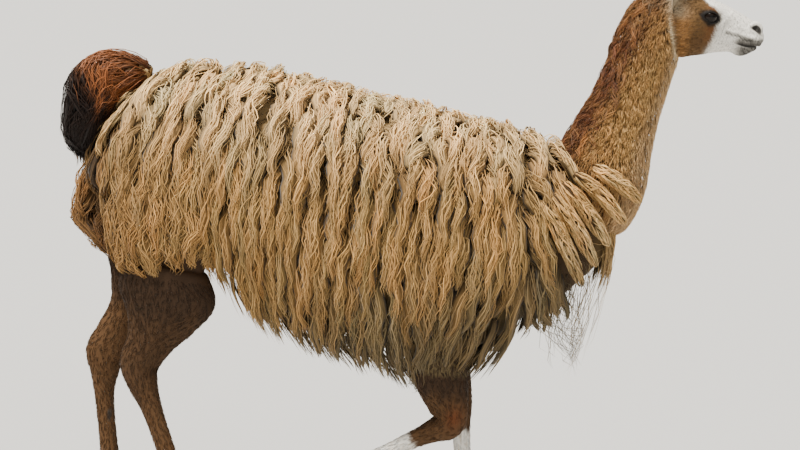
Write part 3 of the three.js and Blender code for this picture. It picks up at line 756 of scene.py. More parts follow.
class Ear(Limb):
    """An ear as a shell bent forwards at both edges, turned outwards, that leans out and then in."""

    def __init__(self, side):
        self.side = side
        self.length = EAR_LENGTH * MM

    def at(self, s, angle, depth=0.0):
        """The shell's width is a sine of s with a quarter circle at its foot; its thickness and its
        bend follow the sine and the squared cosine of the angle."""
        s = np.clip(s, 0, 1)
        full = np.clip(np.sin(np.pi * (0.17 + 0.83 * s)) * rounded(s, 0.08), 0, 1)
        half = np.maximum(EAR_HALF_WIDTH * np.sqrt(full) - depth / MM, 0)
        across = 0.85 * half * np.cos(angle)
        shell = EAR_THICKNESS * half * np.sin(angle) * (1 - 0.45 * np.abs(np.cos(angle)))
        forwards = shell + EAR_CUP * half * np.cos(angle) ** 2 - 0.2 * half
        c, d = math.cos(EAR_TURN), math.sin(EAR_TURN)
        x = EAR_BASE[0] - 8 * s + 22 * s * s + forwards * c - across * d
        y = self.side * (EAR_BASE[1] + 32 * s - 28 * s**3 + across * c + forwards * d)
        z = EAR_BASE[2] + EAR_LENGTH * s - 0.12 * across
        return np.stack([x, y, z], -1) * MM + SHIFT


EARS = {side: Ear(side) for side in SIDES}


def ear_rings(side):
    """The rings of an ear's skin, all turned the way that faces out."""
    s, angle = ring_grid(*GRIDS["ear"])
    return EARS[side].at(s, angle * side, DEPTH["ear"])


def toe(name, side):
    """One toe as a limb in its foot's own frame."""
    return Limb(TOE_STATIONS, (22, 20), 2.3, toe_place(name, side))


PARTS = ("trunk", "neck", "head", "tail", "leg", "thigh", "ear")


def past_neck(x, z):
    """Over 0 on the neck's side of the slanting plane between the trunk and the neck."""
    return 0.8 * (x - 420) + 0.6 * (z - 985)


def past_poll(x, z):
    """Over 0 on the head's side of the slanting plane behind the jaw."""
    return 0.72 * (x - 590) + 0.69 * (z - 1330)


def part_of(points):
    """The number, in PARTS, of the part that each point of the skin belongs to."""
    trunk, neck, head, tail, leg, thigh, ear = range(len(PARTS))
    x, y, z = drawn(points)
    left = np.asarray(points)[..., 1] >= 0
    part = np.full(np.shape(x), trunk)
    part[past_neck(x, z) > 0] = neck
    part[past_poll(x, z) > 0] = head
    ear_height = 1424 - 26 * smoothstep(y, 58, 72)
    part[(z > ear_height) & (np.hypot(x - EAR_BASE[0], y - 45) < 44)] = ear
    part[(x < -728) & (z > 905) & (y < 66)] = tail
    hem = np.where(left, thigh_hem(points, LEFT), thigh_hem(points, RIGHT))
    part[(z < hem + 34) & (x < -380)] = leg
    part[(z < 470) & (x > -120) & (y < 150)] = leg
    part[(part == trunk) & (x < -400) & (y > 60) & (z < 960)] = thigh
    return part


# How dark the skin under each kind of wool is, next to the wool: painted shade, which darkens the gaps
# between locks.
SKIN_SHADE = {"trunk": 0.45, "thigh": 0.45, "tail": 0.4, "neck": 0.6}
# The brown in the folds between the chest's rolls: painted shade.
FOLD_SHADE = (0.042, 0.023, 0.010)


def skin_colours(points):
    """Each part's markings in its painted shade under the wool, with brown painted shade in the folds on the
    chest and dark under the thighs.
    """
    colours = np.zeros((len(points), 3))
    part = part_of(points)
    for number, name in enumerate(PARTS):
        mine = part == number
        if mine.any():
            colours[mine] = markings(points[mine], name) * SKIN_SHADE.get(name, 1.0)
    x, y, z = drawn(points)
    body = part <= PARTS.index("neck")
    # Painted shade in the folds between the chest's rolls.
    folds = smoothstep(x, 300, 350) * smoothstep(-z + 0.4 * (x - 432), -1060, -1010) * (z > 560)
    colours = blend(colours, FOLD_SHADE, 0.9 * folds * body * smoothstep(y, 45, 95))
    under_thigh = body & (x < -400) & (z < thigh_hem(points, RIGHT) + 12)
    colours[under_thigh] = markings(points[under_thigh], "leg")
    return colours


def chest_hem(x):
    """The height of the chest wool's lower edge at x, in millimetres."""
    return np.interp(x, *zip(*CHEST_HEM))


def hemmed(limb, kind, name):
    """The limb's surface with what would hang below the chest's hem pressed up over it."""
    points = limb.at(*ring_grid(*GRIDS[kind]), DEPTH[kind])
    x, _, z = drawn(points)
    points[..., 2] = np.maximum(z, chest_hem(x) + 24) * MM
    return surface(points, name)


class LLAMA_OT_skin(bpy.types.Operator):
    """Join the limbs' inner surfaces into one skin, with lids, nostrils, lips, ears and toes"""
    bl_idname = "llama.skin"
    bl_label = "Skin"

    def execute(self, context):
        pieces = [limb_mesh(FACE, "head", "head_skin"), hemmed(TRUNK, "trunk", "trunk_skin"),
                  hemmed(NECK, "neck", "neck_skin"), limb_mesh(TAIL, "tail", "tail_skin")]
        for side in SIDES:
            pieces.append(limb_mesh(THIGHS[side], "thigh", "thigh_skin"))
            pieces.append(surface(ear_rings(side), "ear_skin"))
        for number, limb in enumerate(ROLLS):
            pieces.append(limb_mesh(limb, "roll", f"roll_{number}"))
        for name in LEG_NAMES:
            pieces.append(limb_mesh(LEGS[name], "leg", name + "_skin"))
            for side in SIDES:
                pieces.append(limb_mesh(toe(name, side), "toe", name + "_toe"))
        skin = joined(pieces, "skin")
        points = np.clip(places(skin), *np.array(CAD_BOX))
        move_to(skin, points)
        paint(skin, skin_colours(points))
        skin.data.materials.clear()
        skin.data.materials.append(skin_finish())
        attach(skin, "root")
        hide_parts(*FLESH)
        return {"FINISHED"}


EYE_RINGS = 64
# How much further out than the eyeball's radius the middle of its front stands.
CORNEA = 0.035


class LLAMA_OT_eyes(bpy.types.Operator):
    """Put a glossy ball with a level pupil in each eye"""
    bl_idname = "llama.eyes"
    bl_label = "Eyes"

    def execute(self, context):
        for side in SIDES:
            polar = np.linspace(0, np.pi, EYE_RINGS + 1)[:, None]
            angle = np.linspace(0, 2 * np.pi, EYE_RINGS, endpoint=False)[None]
            forwards, upwards, axis = eye_frame(np.zeros(3), side)[3]
            bulge = EYE_RADIUS * (1 + CORNEA * bell(polar / 0.5))
            ball = (np.cos(polar) * bulge)[..., None] * axis + (np.sin(polar) * bulge)[..., None] * (
                np.cos(angle)[..., None] * forwards + np.sin(angle)[..., None] * upwards)
            centre = EYE_AT * np.array([1, side, 1]) + SHIFT
            eye = surface((centre + ball)[:, ::side], f"eyeball_{SIDES[side]}")
            place = np.stack(eye_frame(places(eye), side)[:3], -1)
            data = eye.data.attributes.new("Gaze", "FLOAT_VECTOR", "POINT")
            data.data.foreach_set("vector", (place * MM / EYE_RADIUS).astype(np.float32).ravel())
            eye.data.materials.append(eye_finish())
            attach(eye, "root")
            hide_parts(f"eye_{SIDES[side]}")
        return {"FINISHED"}


class LLAMA_OT_nails(bpy.types.Operator):
    """Put a pointed nail at the end of each of the eight toes"""
    bl_idname = "llama.nails"
    bl_label = "Nails"

    def execute(self, context):
        finish = nail_finish()
        for name in LEG_NAMES:
            for side, letter in ((LEFT, "a"), (RIGHT, "b")):
                limb = Limb(NAIL_STATIONS, (8, 5), 2.4, nail_place(name, side))
                node = name.replace("leg", "nail") + "_" + letter
                nail = limb_mesh(limb, "nail", "horn_" + node)
                points = places(nail)
                points[:, 2] = np.maximum(points[:, 2], BOX_MARGIN)
                move_to(nail, points)
                nail.data.materials.append(finish)
                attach(nail, "root")
                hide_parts(node)
        return {"FINISHED"}


# ------------------------------------------------------------------------------ locks of the coat
STRAND_SECTION = np.array([(-0.5, 0.0), (0.0, 0.42), (0.5, 0.0)])
LOCK_SECTION = np.array([(-0.5, 0.0), (-0.32, 0.13), (0.0, 0.19), (0.32, 0.13), (0.5, 0.0)])
DOWN = np.array([0.0, 0.0, -1.0])
# How much darker a lock's broad body is than the strands over it: painted shade under the strands.
CORE_SHADE = 0.55
# The most triangles that a piece may have.
TRIANGLE_LIMIT = 200000
# The size of one strand's patch in the baked unwrap.
PATCH_SIZE = 0.003


# The share of the gap to the next lock by which a lock's root is moved at most.
JITTER = 0.33
# How near a limb's ends a root may be, as a part of the limb's length.
END_GAP = 0.003


def lock_roots(limb, spacing, rng, span=(0.0, 1.0), round_spacing=None, jitter=JITTER):
    """Staggered places, spacing apart along the limb and round_spacing round it, each moved at
    random: by up to the usual share of the gap round the limb, and up to jitter of it along."""
    round_spacing = round_spacing or spacing
    rows = max(2, round(limb.length * (span[1] - span[0]) / spacing))
    turn = np.linspace(-np.pi, np.pi, 73)
    along, around = [], []
    for row in range(rows):
        s = span[0] + (row + 0.5) / rows * (span[1] - span[0])
        ring = limb.at(np.full(len(turn), s), turn)
        run = np.concatenate([[0], np.cumsum(np.linalg.norm(np.diff(ring, axis=0), axis=1))])
        count = max(4, round(run[-1] / round_spacing))
        place = (np.arange(count) + 0.5 * (row % 2) + rng.uniform(-JITTER, JITTER, count)) / count
        around.append(np.interp(place % 1.0 * run[-1], run, turn))
        moved = s + rng.uniform(-jitter, jitter, count) * spacing / limb.length
        along.append(np.clip(moved, END_GAP, 1 - END_GAP))
    return np.concatenate(along), np.concatenate(around)


def downwards(points, along):
    """Flow straight down."""
    return np.broadcast_to(DOWN, points.shape)


def with_limb(points, along):
    """Flow the way the limb runs."""
    return along


def against_limb(points, along):
    """Flow back along the limb, and a little down."""
    return DOWN * 0.35 - along


def lock_paths(limb, roots, lock):
    """The middle line of each lock, stepped over the limb: at each step it heads along the flow, laid
    flat on the surface and turned by swirl + curl t^1.5 + wave sin(2 pi (waves t + phase))."""
    s, a = roots
    step = lock["length"] / lock["rings"]
    places_along, places_around, frames = [s], [a], []
    for t in lock["t"]:
        along, around, out = limb.spans(s, a, lock["depth"])
        flow = lock["flow"](limb.at(s, a, lock["depth"]), unit(along))
        flat = unit(flow - out * np.sum(flow * out, -1, keepdims=True))
        turned = lock["swirl"] + lock["curl"] * t**1.5 + lock["wave"] * np.sin(
            2 * np.pi * (lock["waves"] * t + lock["phase"]))
        cross = np.cross(flat, out)
        way = flat * np.cos(turned)[:, None] + cross * np.sin(turned)[:, None]
        frames.append((flat, cross, out, along, around))
        if t < 1:
            size_s = np.sum(along**2, -1)
            size_a = np.maximum(np.sum(around**2, -1), 0.02**2)
            s = np.clip(s + step * np.sum(way * along, -1) / size_s, 0, 1)
            a = a + step * np.sum(way * around, -1) / size_a
            places_along.append(s)
            places_around.append(a)
    return (np.stack(places_along, 1), np.stack(places_around, 1),
            [np.stack(part, 1) for part in zip(*frames)])


# What a lock's style is where a coat gives nothing else: turns in radians, stray in metres, the rest
# as parts of one.
LOCK_DEFAULTS = {
    "flow": downwards, "swirl": 0.0, "curl": 0.0, "wave": 0.0, "waves": 1.0, "lift": 1.0, "dip": 0.15,
    "spring": 2.5, "hang": 0.0, "gather": 0.6, "core": 0.0, "dome": 0.4, "crease_shade": 0.35, "roll": 0.5,
    "stray": 0.004, "tint": 1.0, "rust": 0.05, "ringed": False,
}
# The values that may differ from lock to lock.
LOCK_VALUES = ("swirl", "curl", "wave", "waves", "phase", "length", "lift", "dip", "gather", "hang",
               "tint", "spread", "width", "dome", "spring", "core")


def strand_faces(rings, corners):
    """The faces of one closed strand: quads between its rings, then triangles round its tip, which
    is the last vertex, and over its foot."""
    j = np.arange(corners)
    beside = (j + 1) % corners
    first = (np.arange(rings - 1) * corners)[:, None]
    quads = np.stack([first + j, first + beside, first + corners + beside, first + corners + j], -1)
    last = (rings - 1) * corners
    tip = np.stack([last + j, last + beside, np.full(corners, rings * corners)], -1)
    foot = np.stack([np.zeros(corners - 2, int), j[2:], j[1:-1]], -1)
    return quads.reshape(-1, 4), np.vstack([tip, foot])


def dress(obj, bake, strand, colours, finish):
    """Gives a piece of hair its two unwraps, its colours and its material."""
    index = np.empty(len(obj.data.loops), np.int32)
    obj.data.loops.foreach_get("vertex_index", index)
    for name, flat in (("OFBake", bake), ("Strand", strand)):
        layer = obj.data.uv_layers.new(name=name)
        layer.data.foreach_set("uv", flat[index].astype(np.float32).ravel())
    paint(obj, colours)
    obj.data.materials.append(finish)


class Coat:
    """Strands gathered for one piece: their vertices, faces, colours and two unwraps."""

    def __init__(self, name):
        self.name = name
        self.verts, self.quads, self.triangles = [], [], []
        self.colours, self.bake, self.strand = [], [], []
        self.total = 0

    def add(self, limb, roots, style, part, rng, patch=(0.0, 1.0)):
        """Grows locks from roots. Each has a broad body, where core is over 0, and count strands
        spread over it, drawn to its middle by gather t. Their height over the skin is the coat's
        depth times lift (1 - (1 - t)^spring) less dip t^3, lower towards the lock's edges; hang pulls
        the far part straight down by t^2."""
        n = len(roots[0])
        lock = {**LOCK_DEFAULTS, "phase": rng.uniform(0, 1, n), **style}
        for key in LOCK_VALUES:
            lock[key] = np.broadcast_to(np.asarray(lock[key], float), (n,))
        lock["t"] = np.linspace(0, 1, lock["rings"] + 1)
        middle = lock_paths(limb, roots, lock)
        ruddy = 1 + rng.normal(0, lock["rust"], (n, 1, 1)) * np.array([1, 0, -1])
        tints = lock["tint"][:, None, None] * ruddy
        if lock["core"].any():
            # The broad body is darkened as painted shade under its strands.
            self.strands(limb, middle, lock, True, part, patch, tints * CORE_SHADE, rng)
        each = (n, lock["count"], 1)
        pale = 1 + 0.35 * (rng.uniform(0, 1, each) > 0.9)
        tints = tints * pale * rng.uniform(0.87, 1.13, each)
        self.strands(limb, middle, lock, False, part, patch, tints, rng)

    def strands(self, limb, middle, lock, core, part, patch, tints, rng):
        """Adds each lock's one broad body, if core is true, or else its strands: each is closed, a
        drawn-out section that ends in a point."""
        s0, a0, (flat, cross, out, along, around) = middle
        t = lock["t"]
        section = LOCK_SECTION if core else STRAND_SECTION
        scatter = 0 if core else 1
        n, rings, corners = len(s0), len(t) - 1, len(section)
        shape = (n, 1 if core else lock["count"], 1)
        own = {key: lock[key][:, None, None] for key in LOCK_VALUES}
        # Where each strand runs beside the lock's middle line, carried over to the limb's s and angle.
        radius = np.sqrt(rng.uniform(0, 1, shape)) * scatter
        turn = rng.uniform(0, 2 * np.pi, shape)
        edge = np.sin(turn) * radius
        inwards = 1 - own["gather"] * np.minimum(1.5 * t, 1)
        lag = own["spread"] * radius * np.cos(turn) * (1 - 0.3 * t)
        wiggle = rng.normal(0, 1, shape) * lock["stray"] * scatter
        sideways = own["spread"] * radius * np.sin(turn) * inwards
        sideways = sideways + wiggle * np.sin(2 * np.pi * (1.6 * t + rng.uniform(0, 1, shape)))
        offset = lag[..., None] * flat[:, None] + sideways[..., None] * cross[:, None]
        size_s = np.sum(along**2, -1)[:, None]
        size_a = np.maximum(np.sum(around**2, -1), 0.03**2)[:, None]
        s = np.clip(s0[:, None] + np.sum(offset * along[:, None], -1) / size_s, 0, 1)
        a = a0[:, None] + np.sum(offset * around[:, None], -1) / size_a
        # How high it lies over the skin; strands lie on the body's bulge where there is one.
        rise = own["lift"] * (1 - own["dome"] * edge**2)
        rise = rise * (0.74 if core else rng.uniform(0.86, 1.0, shape))
        height = rise * (1 - (1 - t) ** own["spring"]) - own["dip"] * t**3
        under = lock["depth"] * (1 - height) + 0.0015 * (1 - t)
        bulge = 0.36 * own["core"] * own["spread"] * np.sqrt(1 - edge**2)
        under = under - scatter * bulge * np.sin(np.pi * np.minimum(t + 0.2, 1))
        drop = own["hang"] * own["length"] * np.clip(t - 0.2, 0, 1) ** 2
        points = limb.at(s, a, under) + drop[..., None] * DOWN
        # The section's own axes and width along it.
        way = unit(np.gradient(points, axis=2))
        side = unit(np.cross(way, np.broadcast_to(out[:, None], points.shape)))
        up = np.cross(side, way)
        roll = rng.normal(0, 1, (*shape, 1)) * lock["roll"] * scatter
        side, up = side * np.cos(roll) + up * np.sin(roll), up * np.cos(roll) - side * np.sin(roll)
        width = 2 * own["core"] * own["spread"] * inwards if core else own["width"]
        wide = width * rng.uniform(0.75, 1.2, shape) * np.minimum(1, 0.6 + 1.6 * t) * (1 - 0.6 * t**2.5)
        wide = wide[:, :, :-1, None, None]
        rows = points[:, :, :-1, None] + side[:, :, :-1, None] * wide * section[:, :1] + (
            up[:, :, :-1, None] * wide * section[:, 1:])
        verts = np.concatenate([rows.reshape(n * shape[1], -1, 3),
                                points[:, :, -1].reshape(-1, 1, 3)], 1)
        start = (self.total + np.arange(len(verts)) * verts.shape[1])[:, None, None]
        quads, triangles = strand_faces(rings, corners)
        self.quads.append((quads + start).reshape(-1, 4))
        self.triangles.append((triangles + start).reshape(-1, 3))
        self.verts.append(verts.reshape(-1, 3))
        self.total += len(verts) * verts.shape[1]
        # Its colour, darker at the lock's edges, low down and at the section's own edges: painted shade where
        # strands shade each other.
        shade = (1 - lock["crease_shade"] * edge[..., :1] ** 2) * (0.72 + 0.28 * np.clip(rise, 0, 1.1))
        colour = markings(points[:, :, :-1] if lock["ringed"] else points[:, :, 1:2], part)
        colour = np.broadcast_to(colour * (tints * shade)[:, :, None], (*shape[:2], rings, 3))
        colour = np.concatenate([np.repeat(colour, corners, 2), colour[:, :, -1:]], 2)
        # Painted shade: darker towards each section's own edges.
        hollow = np.tile(1 - (0.75 if core else 0.35) * (2 * section[:, 0]) ** 2, rings)
        self.colours.append((colour * np.append(hollow, 1.0)[:, None]).reshape(-1, 3))
        self.unwrap(s[:, :, 0], a[:, :, 0], t, section[:, 0], wide[:, :, 1, 0, 0], patch, rng)

    def unwrap(self, s, a, t, profile, wide, patch, rng):
        """Adds the strands' two unwraps: a small patch at each root's place on the limb, inside the
        band called patch, and a strip of the strand's own width, shifted at random."""
        across = np.append(np.tile(profile, len(t) - 1), 0.0)
        along = np.append(np.repeat(t[:-1], len(profile)), 1.0)
        broad = (wide / 0.01).reshape(-1, 1) * across
        broad = broad + 10 * rng.integers(0, 40, (wide.size, 1))
        self.strand.append(np.stack([broad, np.broadcast_to(along, broad.shape)], -1).reshape(-1, 2))
        low, high = patch
        foot = np.stack([low + (high - low) * (0.01 + 0.98 * s),
                         0.01 + 0.98 * ((a / (2 * np.pi) + 0.5) % 1.0)], -1)
        small = np.stack([across, along - 0.5], -1)
        self.bake.append((foot.reshape(-1, 1, 2) + PATCH_SIZE * small).reshape(-1, 2))

    def piece(self, finish):
        """Makes the piece's object, inside the solids' box, on the body."""
        quads, triangles = np.vstack(self.quads), np.vstack(self.triangles)
        if len(quads) * 2 + len(triangles) >= TRIANGLE_LIMIT:
            raise ValueError(f"{self.name} has {len(quads) * 2 + len(triangles)} triangles")
        low, high = np.array(CAD_BOX)
        verts = np.clip(np.vstack(self.verts), low + BOX_MARGIN, high - BOX_MARGIN)
        obj = new_mesh(self.name, verts, quads, triangles)
        dress(obj, np.vstack(self.bake), np.vstack(self.strand), np.vstack(self.colours), finish)
        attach(obj, "root")


def chosen(roots, keep):
    """The roots where keep is true."""
    return roots[0][keep], roots[1][keep]


def chest_flow(points, along):
    """Down and forwards, the more forwards the higher and further forwards the place is."""
    x, _, z = drawn(points)
    forwards = 0.57 + 1.43 * np.clip((0.5 * (x - 395) + 0.5 * (z - 830)) / 125, 0, 1) ** 1.5
    return np.stack([forwards, 0 * x, np.full(np.shape(x), -1.0)], -1)


def body_flow(points, along):
    """Down, turned to the sides and backwards on the back, and forwards on the chest."""
    x, _, z = drawn(points)
    across = np.sign(points[..., 1]) * smoothstep(z, 900, 1120)
    backwards = 0.35 * smoothstep(z, 980, 1120) * (1 - smoothstep(x, 100, 300))
    chest = smoothstep(x, 200, 400)
    sides = np.stack([-backwards, 0.8 * across, np.full(np.shape(x), -1.0)], -1)
    return sides + (chest_flow(points, along) - sides * np.array([1, 0, 1])) * chest[..., None]


def trunk_style(roots, rng):
    """How the body wool grows: short rolled puffs on the back, long waved hanging ropes on the
    flank, locks that lean forwards on the chest, and a free fringe under the belly."""
    s, a = roots
    n = len(s)
    place = TRUNK.at(s, a)
    out = TRUNK.spans(s, a, 0)[2]
    x, _, z = drawn(place)
    top = smoothstep(out[..., 2], 0.2, 0.75)
    under = smoothstep(-out[..., 2], 0.05, 0.5)
    chest = smoothstep(x, 280, 400) * (1 - under)
    room = np.where(x > 300, np.maximum((z - chest_hem(x)) * MM, 0.06), 1.0)
    length = 0.175 * (1 - 0.47 * top) * (1 - 0.42 * under) * (1 + 0.2 * chest) * rng.uniform(0.85, 1.12, n)
    length = np.minimum(length, room)
    loose = smoothstep(-z, -800, -640) * (1 - top)
    swirl = rng.normal(0, 1, n)
    ends = 1 - smoothstep(s, 0.03, 0.12)
    return {
        "flow": body_flow, "depth": DEPTH["trunk"], "rings": 8, "length": length, "waves": length / 0.075,
        "swirl": swirl * (0.1 + 0.3 * top), "curl": swirl * -(0.15 + 0.8 * top),
        "wave": (0.42 + 0.15 * top) * (1 - 0.5 * chest),
        "phase": 0.8 * rough(place, 0.3) + rng.uniform(0, 0.35, n),
        "spread": 0.027, "gather": 0.5 - 0.15 * top + 0.1 * chest - 0.25 * loose,
        "core": 0.95 * (1 - 0.6 * under), "dome": 0.8, "crease_shade": 0.5,
        "width": 0.0027 * rng.uniform(0.85, 1.2, n), "lift": rng.uniform(0.8, 1.12, n),
        "spring": 2.5 + 5 * np.maximum(top, ends), "hang": 0.8 * under, "dip": 0.15 + 0.5 * top,
        "tint": rng.uniform(0.86, 1.1, n) * (1 + 0.15 * top),
    }


def over_roll_line(x, z):
    """How far a place is over the slanting line along the rolls' front, in millimetres."""
    return z - 0.75 * (x - 405) - 915


def chest_wool(rng, finish):
    """Hanging locks over the very front of the chest, where the trunk's surface closes in a pole."""
    s, a = lock_roots(TRUNK, 0.019, rng, (0.8, 0.999))
    x, y, z = drawn(TRUNK.at(s, a))
    over_hem = z - chest_hem(x)
    keep = (x > 425) & (y < 95) & (over_hem > 10) & (over_roll_line(x, z) < 45)
    roots = chosen((s, a), keep)
    n = len(roots[0])
    near = 1 - smoothstep(y[keep], 40, 80)
    coat = Coat("fleece_chest")
    coat.add(TRUNK, roots, {
        "swirl": 0.2 * rng.normal(0, 1, n), "curl": 0.3 * rng.normal(0, 1, n), "wave": 0.35, "waves": 1.3,
        "length": np.clip(over_hem[keep] * MM, 0.05, 0.12) * rng.uniform(0.8, 1.1, n), "spread": 0.018,
        "gather": 0.5, "core": 0.8, "width": 0.0027, "lift": rng.uniform(0.3, 0.7, n), "spring": 4.0,
        "tint": rng.uniform(0.85, 1.1, n), "crease_shade": 0.4, "hang": 0.2 + 1.1 * near,
        "depth": DEPTH["trunk"], "count": 8, "rings": 6}, "trunk", rng)
    coat.piece(finish)


# The body wool's pieces: how far round from the back each begins and ends, in radians, and the
# strands in one of its locks.
FLEECE_PIECES = {"fleece_back": (0, 0.62, 16), "fleece_sides": (0.62, 1.1, 19),
                 "fleece_flanks": (1.1, 1.55, 19), "fleece_skirt": (1.55, 2.2, 13),
                 "fleece_belly": (2.2, 4, 4)}


class LLAMA_OT_fleece(bpy.types.Operator):
    """Cover the trunk with waved locks, in pieces from back to belly, and the chest's front"""
    bl_idname = "llama.fleece"
    bl_label = "Body fleece"

    def execute(self, context):
        rng = np.random.default_rng(11)
        spacing = context.scene.llama_sizes.lock_spacing
        s, a = lock_roots(TRUNK, spacing, rng, (0.0, 1.0), 0.82 * spacing, 0.16)
        s = np.clip(s + 0.012 * rough(TRUNK.at(s, a), 0.35, 4.0), END_GAP, 1 - END_GAP)
        x, y, z = drawn(TRUNK.at(s, a))
        buried = (x > 405) & (over_roll_line(x, z) > 0) & (y < 90)
        buried |= ((x < -440) & (z < 760) & (y > 80)) | ((x < -425) & (z < 715))
        buried |= (x > 300) & (z < chest_hem(x) + 6)
        for line in ROLL_LINES:
            buried |= (along_line(x, z, (line[:2], line[2:])) < 24) & (y > 50)
        roots = chosen((s, a), ~buried)
        turn = np.abs(roots[1])
        finish = coat_finish("fleece", 0.85, 0.06, 0.45)
        for name, (low, high, count) in FLEECE_PIECES.items():
            mine = chosen(roots, (turn >= low) & (turn < high))
            coat = Coat(name)
            coat.add(TRUNK, mine, {**trunk_style(mine, rng), "count": count}, "trunk", rng)
            coat.piece(finish)
        chest_wool(rng, finish)
        return {"FINISHED"}


class LLAMA_OT_wisps(bpy.types.Operator):
    """Hang long thin strands from the chest"""
    bl_idname = "llama.wisps"
    bl_label = "Chest wisps"

    def execute(self, context):
        rng = np.random.default_rng(17)
        s, a = lock_roots(TRUNK, 0.042, rng, (0.8, 0.985))
        x, _, z = drawn(TRUNK.at(s, a))
        over_hem = z - chest_hem(x)
        roots = chosen((s, a), (over_hem > 15) & (over_hem < 90) & (x > 370))
        n = len(roots[0])
        coat = Coat("chest_wisps")
        coat.add(TRUNK, roots, {
            "flow": chest_flow, "swirl": 0.25 * rng.normal(0, 1, n), "wave": 0.2, "waves": 1.5,
            "length": 0.20 * rng.uniform(0.6, 1.2, n), "spread": 0.02, "gather": 0.2, "width": 0.0016,
            "lift": 1.1, "dip": -0.4, "hang": 0.9, "stray": 0.02, "tint": 1.1, "depth": DEPTH["trunk"],
            "count": 4, "rings": 8}, "trunk", rng)
        coat.piece(coat_finish("wisps", 0.7, 0.1, 0.8))
        return {"FINISHED"}


# The thigh wool's lower edge below the middle of the thigh, in millimetres.
THIGH_HEM = {LEFT: 690, RIGHT: 660}


def thigh_hem(points, side):
    """The height of the thigh wool's lower edge, in millimetres: it rises forwards and waves."""
    x = drawn(points)[0]
    return THIGH_HEM[side] + 0.2 * (x + 560) + 22 * rough(points, 0.10, 2.0)


class LLAMA_OT_thigh_wool(bpy.types.Operator):
    """Cover both thighs with hanging locks that end in a curled hem"""
    bl_idname = "llama.thigh_wool"
    bl_label = "Thigh wool"

    def execute(self, context):
        rng = np.random.default_rng(12)
        finish = coat_finish("thigh_wool", 0.85, 0.06, 0.45)
        for side in SIDES:
            limb = THIGHS[side]
            roots = lock_roots(limb, 0.040, rng, (0.0, 1.0), 0.044)
            s, a = roots
            outside = (np.sign(a) == side) | (s > 0.4)
            roots = chosen(roots, (s > 0.04) & outside & (limb.spans(s, a, 0)[2][:, 2] > -0.45))
            place = limb.at(*roots)
            hem = thigh_hem(place, side) + rng.normal(0, 7, len(place))
            room = (drawn(place)[2] - hem) * MM
            roots, room = chosen(roots, room > 0.03), room[room > 0.03]
            s, a = roots
            n = len(s)
            low = smoothstep(s, 0.6, 0.95)
            rear = smoothstep(-drawn(limb.at(s, a))[0], 700, 780)
            coat = Coat("fleece_thigh_" + SIDES[side])
            coat.add(limb, roots, {
                "swirl": 0.15 * rng.normal(0, 1, n), "curl": rng.normal(0, 0.3, n), "wave": 0.36 + 0.2 * low,
                "waves": 1.9, "length": np.minimum(0.155 * rng.uniform(0.8, 1.1, n), room),
                "spread": 0.026 * np.minimum(1, 0.3 + room / 0.11), "crease_shade": 0.45,
                "gather": 0.45, "width": 0.0030, "lift": rng.uniform(0.75, 1.1, n) * (1 + 0.3 * rear),
                "core": (0.85 - 0.4 * low) * smoothstep(room, 0.05, 0.1),
                "tint": rng.uniform(0.84, 1.1, n) * (1 + 0.15 * low), "dip": rng.uniform(0.1, 0.3, n),
                "hang": 0.2 * low, "depth": DEPTH["thigh"], "count": 13, "rings": 7}, "thigh", rng)
            coat.piece(finish)
        return {"FINISHED"}


